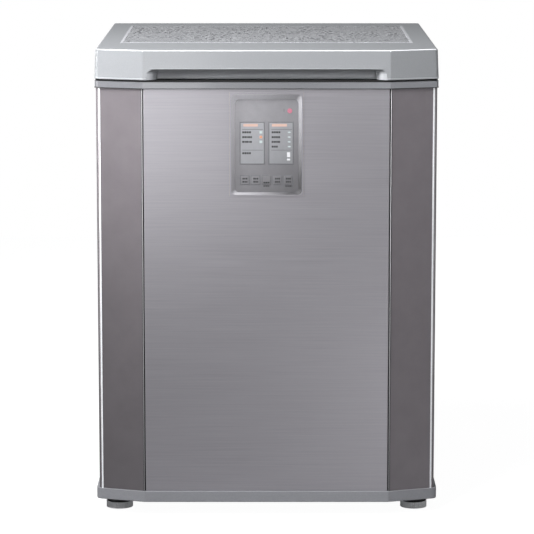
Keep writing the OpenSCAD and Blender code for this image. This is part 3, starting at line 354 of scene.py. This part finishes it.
SLOT_MATERIAL = {
    "painted_sheet": SHEET, "brushed_front": BRUSHED, "pillar_gloss": PILLAR, "frame_plastic": FRAME,
    "skirt_plastic": SKIRT, "galvanised": GALVANISED, "liner_aluminium": ALUMINIUM, "foam": FOAM,
    "copper_tube": COPPER, "white_plastic": WHITE, "bezel_plastic": BEZEL, "plate_plastic": PLATE,
    "window_plastic": WINDOW, "lamp": LAMP_DIM, "circuit_board": BOARD, "key_plastic": KEY,
    "black_steel": BLACK_STEEL, "black_plastic": BLACK_PLASTIC, "black_rubber": RUBBER,
    "grille_plastic": GRILLE, "zinc_steel": ZINC, "tub_plastic": TUB, "tub_lid_plastic": TUB_LID,
    "lid_paint": LID_PAINT, "decor_print": DECOR, "gasket_rubber": GASKET, "foot_plastic": FOOT,
}


# ---------------------------------------------------------------- making pieces

def finish_piece(name, bm, material, body, replaced=(), sharp=38):
    """Makes a piece of a bmesh and ties it to its body; turns of more than sharp degrees stay sharp."""
    for face in bm.faces:
        face.smooth = True
    for edge in bm.edges:
        edge.smooth = len(edge.link_faces) == 2 and edge.calc_face_angle() < math.radians(sharp)
    mesh = bpy.data.meshes.new(name)
    bm.to_mesh(mesh)
    bm.free()
    mesh.materials.append(material)
    piece = bpy.data.objects.new(name, mesh)
    bpy.context.scene.collection.objects.link(piece)
    even = piece.modifiers.new("Even faces", "WEIGHTED_NORMAL")
    even.keep_sharp = True
    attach(piece, body)
    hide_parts(*replaced)


def cad_copy(node, kept=None):
    """A CAD node's mesh with its corners joined and its flat faces whole; kept picks points in mm."""
    bm = bmesh.new()
    bm.from_mesh(NODES[node].data)
    bmesh.ops.remove_doubles(bm, verts=bm.verts, dist=0.002 * MM)
    if kept:
        bmesh.ops.delete(bm, geom=[v for v in bm.verts if not kept(v.co / MM)], context="VERTS")
    bmesh.ops.dissolve_limit(bm, angle_limit=math.radians(0.3), verts=bm.verts, edges=bm.edges)
    bmesh.ops.connect_verts_concave(bm, faces=bm.faces)
    return bm


def round_edges(bm, width, segments=2, chosen=None, least=32):
    """Rounds the edges that turn by more than least degrees; chosen picks them by their ends in mm."""
    edges = [e for e in bm.edges if len(e.link_faces) == 2
             and e.calc_face_angle() > math.radians(least)
             and (chosen is None or chosen(e.verts[0].co / MM, e.verts[1].co / MM))]
    bmesh.ops.bevel(bm, geom=edges, offset=width * MM, offset_type="OFFSET", segments=segments,
                    profile=0.5, affect="EDGES", clamp_overlap=True, material=-1)


def add_blocks(bm, blocks):
    """Adds a block for each (x0, x1, y0, y1, z0, z1)."""
    for x0, x1, y0, y1, z0, z1 in blocks:
        middle = Matrix.Translation(Vector((x0 + x1, y0 + y1, z0 + z1)) / 2)
        size = Matrix.Diagonal((x1 - x0, y1 - y0, z1 - z0, 1))
        bmesh.ops.create_cube(bm, size=1, matrix=TO_METRES @ middle @ size)


def cut(bm, cutter):
    """Takes the cutter's shape out of bm and returns what is left."""
    objects = []
    for source in (bm, cutter):
        mesh = bpy.data.meshes.new("cut")
        source.to_mesh(mesh)
        source.free()
        obj = bpy.data.objects.new("cut", mesh)
        bpy.context.scene.collection.objects.link(obj)
        objects.append(obj)
    body, tool = objects
    modifier = body.modifiers.new("cut", "BOOLEAN")
    modifier.object = tool
    modifier.operation = "DIFFERENCE"
    modifier.solver = "EXACT"
    bpy.context.view_layer.update()
    left = bmesh.new()
    left.from_object(body, bpy.context.evaluated_depsgraph_get())
    for obj in objects:
        mesh = obj.data
        bpy.data.objects.remove(obj)
        bpy.data.meshes.remove(mesh)
    return left


def outer(p):
    """True on the outside of a ring that follows the cabinet's plan."""
    return abs(p.x) > 285 or p.y > 311 or p.y < -293


def outer_rim(level):
    """Picks the edges that run round the outside at one height."""
    return lambda a, b: (max(abs(a.z - level), abs(b.z - level)) < 0.05 and outer(a) and outer(b))


# Nodes that take a copy with rounded edges, with the width of the rounding in mm and its steps
ROUNDED = {
    "side_panel_left": (0.4, 2), "side_panel_right": (0.4, 2), "back_panel": (0.3, 2),
    "corner_pillar_left": (0.7, 3), "corner_pillar_right": (0.7, 3), "bottom_plate": (0.4, 2),
    "inner_liner": (0.4, 2), "control_plate": (0.3, 2),
    "display_windows": (0.3, 2), "key_1": (0.5, 3), "key_2": (0.5, 3), "key_3": (0.5, 3),
    "key_4": (0.5, 3), "key_5": (0.5, 3), "lid_liner": (0.8, 3), "lid_gasket": (0.8, 3),
    "hinge_leaves": (0.4, 2), "hinge_brackets": (0.4, 2), "hinge_pins": (0.4, 2),
    "rear_grille": (0.4, 2), "cord_gland": (0.4, 2), "roller_brackets": (0.3, 2),
    "roller_axles": (0.3, 2), "roller_left": (0.8, 3), "roller_right": (0.8, 3),
    "foot_left": (0.5, 2), "foot_right": (0.5, 2), "foot_nuts": (0.3, 2),
    "tub_front_left": (0.6, 2), "tub_front_right": (0.6, 2), "tub_rear_left": (0.6, 2),
    "tub_rear_right": (0.6, 2), "tub_lids_front": (0.6, 2), "tub_lids_rear": (0.6, 2),
}


def dress(node, bm):
    """Makes the piece that stands for a node, in the node's own finish."""
    slot = SLOT_OF[node]
    finish_piece(node + "_rounded", bm, SLOT_MATERIAL[slot], BODY_OF[node], (node,))


def dress_nodes(special):
    """Gives every node its finish, and rounds those in the table; special ones are made below."""
    for node, obj in NODES.items():
        if node in ROUNDED:
            bm = cad_copy(node)
            round_edges(bm, *ROUNDED[node])
            dress(node, bm)
        elif node not in special:
            obj.data.materials.clear()
            obj.data.materials.append(SLOT_MATERIAL[SLOT_OF[node]])


# ---------------------------------------------------------------- cabinet front

# The steel panel's face, lower and upper edge and half width, and the pillars' inner edges beside it
FRONT_Y = -324.75
PANEL_Z = (43.5, 752.5)
PANEL_HALF = 212.3
PILLAR_EDGE = 213.7
SKIRT_Z = (24.5, 43.5)
SIDES = ((-1, "left"), (1, "right"))

# The top frame's lower and upper faces, and how much lower its outer rim is made
FRAME_BOTTOM = 753.5
FRAME_TOP = 765
RIM_DROP = 0.8

# Distances outwards from a pillar's inner edge of its bright strip and the black beads of painted shade
# beside it
SEAM_STRIP = (0.7, 1.8)
SEAM_BEADS = ((-0.1, 0.65), (1.85, 2.6))


def make_front_panel():
    """The steel sheet folds back at both sides in a wider rounding than along its other edges."""
    bm = cad_copy("front_panel")
    side_edge = lambda a, b: (abs(a.z - b.z) > 1 and abs(abs(a.x) - PANEL_HALF) < 0.05
                              and abs(a.y - FRONT_Y) < 0.05)
    round_edges(bm, 1.1, 4, side_edge)
    round_edges(bm, 0.3, 2, lambda a, b: a.y < FRONT_Y + 0.1 and b.y < FRONT_Y + 0.1)
    dress("front_panel", bm)


def upright(side, inner, outside, front, back):
    """A block as tall as the panel, between two distances from the middle and two from the front."""
    near, far = sorted((side * inner, side * outside))
    return near, far, FRONT_Y + front, FRONT_Y + back, PANEL_Z[0] + 0.2, PANEL_Z[1] - 0.2


def make_seam_trims():
    """Bright strips along the pillars' inner edges, with black beads of painted shade on both sides."""
    for side, name in SIDES:
        bm = bmesh.new()
        add_blocks(bm, [upright(side, *(PILLAR_EDGE + x for x in SEAM_STRIP), -0.2, 1.5)])
        round_edges(bm, 0.3, 3)
        finish_piece("seam_trim_" + name, bm, SEAM, "cabinet")
        bm = bmesh.new()
        add_blocks(bm, [upright(side, *(PILLAR_EDGE + x for x in bead), -0.05, 1.5)
                        for bead in SEAM_BEADS])
        # The black filler behind them closes the joint, as painted shade
        add_blocks(bm, [upright(side, PANEL_HALF + 0.05, PILLAR_EDGE - 0.05, 2, 5)])
        round_edges(bm, 0.15, 2)
        finish_piece("seam_shade_bead_" + name, bm, SHADE_FILLER, "cabinet")


# The strip on a pillar's corner, between two distances from the middle, and how far it stands out
CORNER_STRIP = (288.2, 290.9)
CORNER_PROUD = 0.35


def make_corner_strips():
    """Bright strips that follow the outer corners of the pillars; their brightness is partly a painted
    highlight.
    """
    for side, name in SIDES:
        bm = cad_copy("corner_pillar_" + name)
        for edge in CORNER_STRIP:
            bmesh.ops.bisect_plane(bm, geom=bm.verts[:] + bm.edges[:] + bm.faces[:], dist=1e-7,
                                   plane_co=(side * edge * MM, 0, 0), plane_no=(1, 0, 0))
        drop = [f for f in bm.faces
                if not (CORNER_STRIP[0] < abs(f.calc_center_median().x) / MM < CORNER_STRIP[1]
                        and f.calc_center_median().y / MM < -295 and f.normal.y < -0.5)]
        bmesh.ops.delete(bm, geom=drop, context="FACES")
        grown = bmesh.ops.extrude_face_region(bm, geom=bm.faces[:])["geom"]
        for vert in [g for g in grown if isinstance(g, bmesh.types.BMVert)]:
            vert.co += Vector((side * 0.45, -0.9, 0)) * CORNER_PROUD * MM
        bmesh.ops.recalc_face_normals(bm, faces=bm.faces)
        finish_piece("corner_strip_" + name, bm, TRIM, "cabinet")


def ring_band(node, level, inset, width, height):
    """A band on a node's flat faces at one level, inset mm inside their outer outline."""
    bm = cad_copy(node)
    rest = [f for f in bm.faces
            if abs(f.normal.z) < 0.9 or abs(f.calc_center_median().z / MM - level) > 0.05]
    bmesh.ops.delete(bm, geom=rest, context="FACES")
    for step, keep_rim in ((inset, False), (width, True)):
        rim = bmesh.ops.inset_region(bm, faces=bm.faces[:], thickness=step * MM, use_boundary=True,
                                     use_even_offset=True)["faces"]
        drop = [f for f in bm.faces if f not in rim] if keep_rim else rim
        bmesh.ops.delete(bm, geom=drop, context="FACES")
    inner = [f for f in bm.faces if not outer(f.calc_center_median() / MM)]
    bmesh.ops.delete(bm, geom=inner, context="FACES")
    grown = bmesh.ops.extrude_face_region(bm, geom=bm.faces[:])["geom"]
    bmesh.ops.translate(bm, verts=[g for g in grown if isinstance(g, bmesh.types.BMVert)],
                        vec=(0, 0, height * MM))
    bmesh.ops.recalc_face_normals(bm, faces=bm.faces)
    return bm


def make_shade_fillers():
    """Near-black fillers of painted shade in the joints above and below the top frame, and under the
    lid's scoop.
    """
    bm = ring_band("top_frame", FRAME_TOP, inset=1.4, width=4.5, height=1.9)
    finish_piece("frame_shade_filler", bm, SHADE_FILLER, "cabinet")
    bm = ring_band("top_frame", FRAME_BOTTOM, inset=2.5, width=3, height=-1.1)
    finish_piece("frame_joint_shade_filler", bm, SHADE_FILLER, "cabinet")
    bm = bmesh.new()
    add_blocks(bm, [(-209, 209, -322.5, -299, 764.9, 766.2)])
    round_edges(bm, 0.5, 3)
    finish_piece("scoop_shade_filler", bm, SHADE_FILLER, "cabinet")


def make_top_frame():
    """The outer rim lies lower and is widely rounded, which opens the dark joint under the lid."""
    bm = cad_copy("top_frame")
    for v in bm.verts:
        if v.co.z / MM > FRAME_TOP - 0.5 and outer(v.co / MM):
            v.co.z -= RIM_DROP * MM
    round_edges(bm, 2.6, 5, outer_rim(FRAME_TOP - RIM_DROP))
    round_edges(bm, 0.6, 3)
    dress("top_frame", bm)


def make_skirt():
    """The skirt's outer edges are softer than its inner ones, most of all the lower one."""
    bm = cad_copy("base_skirt")
    round_edges(bm, 1.4, 4, outer_rim(SKIRT_Z[1]))
    round_edges(bm, 2.2, 4, outer_rim(SKIRT_Z[0]))
    round_edges(bm, 0.4, 2)
    dress("base_skirt", bm)


# Radius, underside and height of the two dark discs of painted shade on top of a foot
COLLARS = ((21.8, 10.9, 0.9), (17.5, 11.5, 3.5))


def make_foot_collars():
    """Dark collars of painted shade that cover the top of the foot discs, where the cabinet shadows them.
    """
    for _, name in SIDES:
        low, high = (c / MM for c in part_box("foot_" + name))
        bm = bmesh.new()
        for radius, bottom, height in COLLARS:
            at = Vector(((low.x + high.x) / 2, (low.y + high.y) / 2, bottom + height / 2))
            bmesh.ops.create_cone(bm, cap_ends=True, segments=64, radius1=radius * MM,
                                  radius2=radius * MM, depth=height * MM,
                                  matrix=Matrix.Translation(at * MM))
        round_edges(bm, 0.3, 2)
        finish_piece("foot_shade_collar_" + name, bm, BLACK_PLASTIC, "foot_" + name)


# ---------------------------------------------------------------- control panel

# Front faces of the windows, the plate and the keys
WINDOW_Y, PLATE_Y, KEY_Y = (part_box(node)[0].y / MM
                            for node in ("display_windows", "control_plate", "key_1"))
# Middles and half sizes of the windows and keys, and the distance between two keys
WINDOW_X = (-24.9, 24.9)
WINDOW_HALF = (21.2, 36.5)
OUTLINE_INSET = 1.1
WINDOW_Z = 658.3
KEY_Z = 593.8
KEY_PITCH = 18.8
KEY_HALF = (7.0, 7.2)


def make_bezel():
    """The recess has round corners, and its outer rim a soft edge."""
    bm = cad_copy("control_bezel")
    slope = lambda a, b: (min(a.y, b.y) < FRONT_Y and max(a.y, b.y) > PLATE_Y - 0.4
                          and abs(a.x) < 62 and abs(b.x) < 62 and abs(a.y - b.y) > 3)
    round_edges(bm, 6, 6, slope, 20)
    rim = bm.copy()
    rim.normal_update()
    rest = [f for f in rim.faces if f.normal.y > -0.98 or f.calc_center_median().y > (FRONT_Y - 0.3) * MM]
    bmesh.ops.delete(rim, geom=rest, context="FACES")
    bmesh.ops.solidify(rim, geom=rim.faces[:], thickness=-0.1 * MM)
    finish_piece("bezel_rim", rim, BRUSHED, "cabinet")
    round_edges(bm, 0.9, 3, lambda a, b: max(a.y, b.y) < FRONT_Y + 1, 20)
    dress("control_bezel", bm)


def printed(name, blocks, material, y, body="cabinet", height=0.08):
    """A piece of printed ink: flat marks (x0, x1, z0, z1) that stand a little proud of y."""
    bm = bmesh.new()
    add_blocks(bm, [(x0, x1, y - height, y + 0.05, z0, z1) for x0, x1, z0, z1 in blocks])
    round_edges(bm, 0.03, 1)
    finish_piece(name, bm, material, body)


def dashes(x, z, lengths, height=3.3, gap=0.6):
    """A row of plain dashes that starts at x, with its middle at z."""
    row = []
    for length in lengths:
        row.append((x, x + length, z - height / 2, z + height / 2))
        x += length + gap
    return row


def ring(x, z, half_x, half_z, width):
    """Four marks round a rectangle, outside its edges."""
    return [
        (x - half_x - width, x + half_x + width, z + half_z, z + half_z + width),
        (x - half_x - width, x + half_x + width, z - half_z - width, z - half_z),
        (x - half_x - width, x - half_x, z - half_z, z + half_z),
        (x + half_x, x + half_x + width, z - half_z, z + half_z),
    ]


def make_control_prints():
    """Lines round the windows and keys, and rows of plain dashes on and beside them."""
    half_x, half_z = (half - OUTLINE_INSET for half in WINDOW_HALF)
    printed("window_outlines", [m for x in WINDOW_X for m in ring(x, WINDOW_Z, half_x, half_z, 1)],
            LINE_INK, WINDOW_Y)
    printed("window_headers", [(-40.2, -15.1, 687.2, 691.6), (9.3, 35.0, 687.2, 691.6)], ORANGE_INK,
            WINDOW_Y)
    printed("window_dividers", [(-42.2, -6.3, z, z + 0.9) for z in (681.7, 645.7)]
            + [(8.1, 43.8, z, z + 0.9) for z in (681.7, 645.7)], LINE_INK, WINDOW_Y)
    rows = []
    for z, lengths in ((677.2, (3.0, 3.6, 3.2, 3.4)), (668.7, (3.2, 3.4, 1.6, 3.4, 2.6)),
                       (660.5, (3.4, 2.2, 3.6, 1.8, 3.0)), (640.8, (3.2, 3.6, 3.0, 3.2))):
        rows += dashes(-42.0, z, lengths)
    for z, lengths in ((677.2, (3.2, 3.2, 3.6, 3.0)), (668.7, (3.4, 2.8, 3.2, 3.2)),
                       (660.5, (3.0, 3.6, 2.6, 3.4)), (652.2, (3.4, 3.0, 2.8))):
        rows += dashes(8.8, z, lengths)
    printed("window_rows", rows, INK, WINDOW_Y)
    printed("level_bar", [(35.3, 40.6, 634.1, 642.5), (35.3, 40.6, 628.3, 631.3)], WHITE_INK, WINDOW_Y)
    outlines = []
    for index in range(-2, 3):
        x = index * KEY_PITCH
        if index:
            outlines += ring(x, KEY_Z, KEY_HALF[0] + 0.1, KEY_HALF[1] + 0.1, 1.2)
        else:
            for dx in (-6.4, -0.9, 4.6):
                outlines += dashes(x + dx, KEY_Z + KEY_HALF[1] + 0.7, (1.8,), 0.8)
            for dz in (-5.4, 0, 5.4):
                outlines += [(x + s - 0.4, x + s + 0.4, KEY_Z + dz - 0.9, KEY_Z + dz + 0.9)
                             for s in (-7.7, 7.7)]
    printed("key_outlines", outlines, LINE_INK, PLATE_Y)
    notes = dashes(-5.4, 583.6, (3.0, 3.4, 2.2), 2.3) + dashes(32.4, 583.6, (3.2, 2.6, 3.4), 2.3)
    printed("key_notes", notes, INK, PLATE_Y)
    printed("power_note", [(29.3, 30.8, 712.6, 717.8)], LINE_INK, PLATE_Y)
    for index in range(-2, 3):
        x = index * KEY_PITCH
        if index:
            marks = (dashes(x - 4.2, KEY_Z + 2.7, (2.6, 2.0, 2.8), 2.8)
                     + dashes(x - 4.2, KEY_Z - 2.7, (3.0, 2.4, 2.0), 2.8))
        else:
            marks = dashes(x - 5.4, KEY_Z - 4.2, (2.8, 3.4, 3.0), 2.8)
        printed("key_%d_marks" % (index + 3), marks, INK, KEY_Y, "key_%d" % (index + 3))


# The lit lamp of the left window's row, and the distance between two lamps
LIT_Z = 668.9
LAMP_PITCH = 8.3


def make_lamps():
    """The lit lamp, the power lamp and the unlit ones, with their glow on the windows."""
    glow = lambda z: [(-12.2, -7.4, z - 2.2, z + 2.2)]
    printed("lamp_glow_lit", glow(LIT_Z), GLOW_LIT, WINDOW_Y)
    printed("lamp_glow_dim", glow(LIT_Z + LAMP_PITCH) + glow(LIT_Z - LAMP_PITCH), GLOW_DIM, WINDOW_Y)
    levels = [LIT_Z + step * LAMP_PITCH for step in (1, 0, -1, -2)]
    printed("lamp_ticks", [(36.7, 39.3, z - 1, z + 1) for z in levels], GLOW_DIM, WINDOW_Y)
    lit = lambda p: p.x < 0 and abs(p.z - LIT_Z) < 3
    power = lambda p: p.z > 700
    for name, kept, material in (
            ("lamp_lit", lit, LAMP_LIT), ("lamp_power", power, LAMP_RED),
            ("lamps_unlit", lambda p: not lit(p) and not power(p), LAMP_DIM)):
        bm = cad_copy("indicator_lamps", kept)
        round_edges(bm, 0.2, 2)
        finish_piece(name, bm, material, "cabinet", ("indicator_lamps",))


# ---------------------------------------------------------------- lid

# The rounding of the lid's top, from where it starts to the top, and how much lower the top is made
ROUNDING_Z = (816.5, 820)
TOP_DROP = 0.5
# The scoop's half width, front, back and upper edge, and how far its ends sweep inwards at the back
SCOOP_HALF = 208
SCOOP_FRONT = -327
SCOOP_BACK = -302
SCOOP_TOP = 786
SCOOP_SWEEP = 19
# Where the ends are divided for their sweep, and by how much their upper corners flatten in front
SWEEP_LEVELS = (-326, -324, -321, -317, -311)
CORNER_FLATTENED = 0.64


def make_scoop_lining():
    """A fine moulded bead along the upper edge of the scoop, and a facing on its back."""
    bm = bmesh.new()
    add_blocks(bm, [(-200, 200, -327.7, -326, 786.4, 788.6)])
    round_edges(bm, 0.65, 4)
    finish_piece("scoop_lip", bm, LID_PAINT, "lid")
    bm = bmesh.new()
    add_blocks(bm, [(-188.4, 188.4, -302.5, -301.5, 768.8, 784.8)])
    round_edges(bm, 0.2, 1)
    finish_piece("scoop_back", bm, LID_PAINT, "lid")


def face_cover(cover, name, material, pick, levels=()):
    """A thin facing on the faces of the lid cover that pick chooses by their middle in mm and normal."""
    bm = cover.copy()
    bm.normal_update()
    for level in levels:
        bmesh.ops.bisect_plane(bm, geom=bm.verts[:] + bm.edges[:] + bm.faces[:], dist=1e-7,
                               plane_co=(0, 0, level * MM), plane_no=(0, 0, 1))
    drop = [f for f in bm.faces if not pick(f.calc_center_median() / MM, f.normal)]
    bmesh.ops.delete(bm, geom=drop, context="FACES")
    bmesh.ops.solidify(bm, geom=bm.faces[:], thickness=-0.12 * MM)
    finish_piece(name, bm, material, "lid", sharp=50)


def make_cover_facings(cover):
    """Brighter facings where the lid's edges and the open scoop catch the light: painted highlights and
    painted light.
    """
    # Painted highlight along the rounding between the top and the front
    face_cover(cover, "lid_edge_painted_highlight", PAINTED_EDGE_HIGHLIGHT,
               lambda p, n: p.z >= 816.5 and p.y <= -297 and 0.3 < n.z < 0.94 and n.y <= -0.05)
    # Painted highlight along the lower front edge, beside the scoop
    face_cover(cover, "lid_lower_painted_highlight", LID_PAINT_PAINTED_LIGHT,
               lambda p, n: 769.1 < p.z < 771 and p.y < -297 and abs(p.x) > 208.5
               and abs(n.z) < 0.3 and n.y < -0.05, (769.2, 770.9))
    # Painted light on the scoop's swept ends, and in the cove at its back
    face_cover(cover, "scoop_ends_painted_light", LID_PAINT_PAINTED_LIGHT,
               lambda p, n: 189 < abs(p.x) < 208.1 and p.y < -311 and p.z < 779
               and n.y < -0.3 and n.x * p.x < -0.01, (779,))
    face_cover(cover, "scoop_cove_painted_light", LID_PAINT_PAINTED_LIGHT,
               lambda p, n: abs(p.x) < 195 and -314 < p.y < -301.6 and p.z < 786.2
               and n.y < -0.1 and n.z < -0.12 and abs(n.x) < 0.1)


def make_lid_cover():
    """The top lies a little lower than the decor's border, and the scoop's ends sweep inwards."""
    bm = cad_copy("lid_cover")
    for level in SWEEP_LEVELS:
        ends = []
        for f in bm.faces:
            middle = f.calc_center_median() / MM
            if (f.normal.x * middle.x < 0 and abs(f.normal.x) > 0.1
                    and 195 < abs(middle.x) < 208.1 and middle.z < 787):
                ends.append(f)
        parts = set(ends) | {e for f in ends for e in f.edges} | {v for f in ends for v in f.verts}
        bmesh.ops.bisect_plane(bm, geom=list(parts), dist=1e-7, plane_co=(0, level * MM, 0),
                               plane_no=(0, 1, 0))
    low, high = ROUNDING_Z
    for v in bm.verts:
        x, y, z = v.co / MM
        in_scoop = abs(x) < SCOOP_HALF + 0.05 and z < SCOOP_TOP + 0.1
        if z > low:
            v.co.z = (low + (z - low) * (high - TOP_DROP - low) / (high - low)) * MM
        if in_scoop and abs(x) > 190 and SCOOP_FRONT + 0.05 < y < SCOOP_BACK + 0.5:
            deep = math.sqrt(max(0, 1 - ((y - SCOOP_BACK) / (SCOOP_BACK - SCOOP_FRONT)) ** 2))
            v.co.x -= math.copysign(SCOOP_SWEEP * deep * MM, x)
        if in_scoop and abs(x) > 194.1 and SCOOP_FRONT - 0.05 < y < -312 and z > 771.9:
            v.co.z += (SCOOP_TOP - z) * CORNER_FLATTENED * min(1, (-311 - y) / 10) * MM
    under = lambda a, b: (max(a.z, b.z) < 790 and max(a.y, b.y) < -298
                          and (min(a.y, b.y) < -326.1 or min(a.z, b.z) < 768.1))
    round_edges(bm, 1.0, 4, under, 40)
    round_edges(bm, 1.0, 3, outer_rim(768), 40)
    make_cover_facings(bm)
    dress("lid_cover", bm)


# The silver border round the decor: its width, underside and height
BORDER_WIDTH = 5
BORDER_BOTTOM = 818.6
BORDER_HEIGHT = 1.25


def make_decor():
    """The decor panel lies as low as the lid's top, and a satin border frames it on three sides."""
    bm = cad_copy("lid_decor_panel")
    round_edges(bm, 0.3, 2)
    for v in bm.verts:
        v.co.z -= TOP_DROP * MM
    dress("lid_decor_panel", bm)
    low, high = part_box("lid_decor_panel")
    bm = bmesh.new()
    width = BORDER_WIDTH * MM
    middle = (low + high) / 2
    size = Matrix.Diagonal((high.x - low.x + width, high.y - low.y + width, 1, 1))
    at = Matrix.Translation((middle.x, middle.y, BORDER_BOTTOM * MM))
    bmesh.ops.create_grid(bm, x_segments=1, y_segments=1, size=0.5, matrix=at @ size)
    bmesh.ops.inset_region(bm, faces=bm.faces[:], thickness=width, use_boundary=True,
                           use_even_offset=True)
    inner = max(bm.faces, key=lambda f: f.calc_area())
    back = max(bm.faces, key=lambda f: f.calc_center_median().y)
    bmesh.ops.delete(bm, geom=[inner, back], context="FACES")
    raised = bmesh.ops.extrude_face_region(bm, geom=bm.faces[:])["geom"]
    bmesh.ops.translate(bm, verts=[g for g in raised if isinstance(g, bmesh.types.BMVert)],
                        vec=(0, 0, BORDER_HEIGHT * MM))
    bmesh.ops.recalc_face_normals(bm, faces=bm.faces)
    round_edges(bm, 0.35, 2)
    finish_piece("decor_border", bm, BORDER, "lid")


# ---------------------------------------------------------------- back

# The middles of the two hinges, and the y and z of the axis they share
HINGE_X = (-170, 170)
AXIS = (322.75, 767)
# Half the length and half the width of a slot in a screw's cross recess
CROSS = (2.2, 0.45)


def make_springs():
    """Torsion springs wound round the hinge pins."""
    turns, steps, pitch, radius, wire = 12, 18, 2.6, 4.8, 1.15
    for x, name in zip(HINGE_X, ("left", "right")):
        bm = bmesh.new()
        start = Vector((x - 6, AXIS[0] + radius, AXIS[1]))
        bmesh.ops.create_circle(bm, cap_ends=False, segments=8, radius=wire * MM,
                                matrix=Matrix.Translation(start * MM) @ Matrix.Rotation(math.pi, 4, "X"))
        bmesh.ops.spin(bm, geom=bm.verts[:] + bm.edges[:], cent=Vector((0, AXIS[0], AXIS[1])) * MM,
                       axis=(1, 0, 0), dvec=(pitch * MM / steps, 0, 0), angle=turns * 2 * math.pi,
                       steps=turns * steps)
        bmesh.ops.holes_fill(bm, edges=[e for e in bm.edges if len(e.link_faces) == 1])
        bmesh.ops.recalc_face_normals(bm, faces=bm.faces)
        finish_piece("hinge_spring_" + name, bm, ZINC, "cabinet", ("hinge_springs",), 60)


def make_screws(node, head_y):
    """Rounds the heads, whose undersides lie at head_y, and cuts a cross recess in each."""
    bm = cad_copy(node)
    round_edges(bm, 0.9, 3, lambda a, b: min(a.y, b.y) > head_y + 1)
    heads = screw_centres(node, head_y)
    for half_x, half_z in (CROSS, CROSS[::-1]):
        cutter = bmesh.new()
        add_blocks(cutter, [(x - half_x, x + half_x, head_y + 1.2, head_y + 4, z - half_z, z + half_z)
                            for x, z in heads])
        bm = cut(bm, cutter)
    dress(node, bm)


def screw_centres(node, head_y):
    """Middles of the heads, from the islands of the CAD node."""
    bm = cad_copy(node, lambda p: p.y > head_y + 1)
    centres = []
    left = set(bm.verts)
    while left:
        island, edge = set(), {left.pop()}
        while edge:
            island |= edge
            edge = {o for v in edge for e in v.link_edges for o in e.verts} - island
        left -= island
        xs, zs = [v.co.x for v in island], [v.co.z for v in island]
        centres.append(((min(xs) + max(xs)) / 2 / MM, (min(zs) + max(zs)) / 2 / MM))
    bm.free()
    return sorted(centres)


# ---------------------------------------------------------------- the whole

make_camera()
make_world()
for row in LAMPS:
    make_lamp(*row)
make_floor()
dress_nodes(("front_panel", "control_bezel", "top_frame", "base_skirt", "indicator_lamps", "lid_cover",
             "lid_decor_panel", "hinge_springs", "hinge_screws", "grille_screws"))
make_front_panel()
make_seam_trims()
make_corner_strips()
make_shade_fillers()
make_top_frame()
make_skirt()
make_foot_collars()
make_bezel()
make_control_prints()
make_lamps()
make_lid_cover()
make_scoop_lining()
make_decor()
make_springs()
make_screws("grille_screws", 315.75)
make_screws("hinge_screws", 317.75)

view = bpy.context.scene.view_settings
view.view_transform = "Standard"
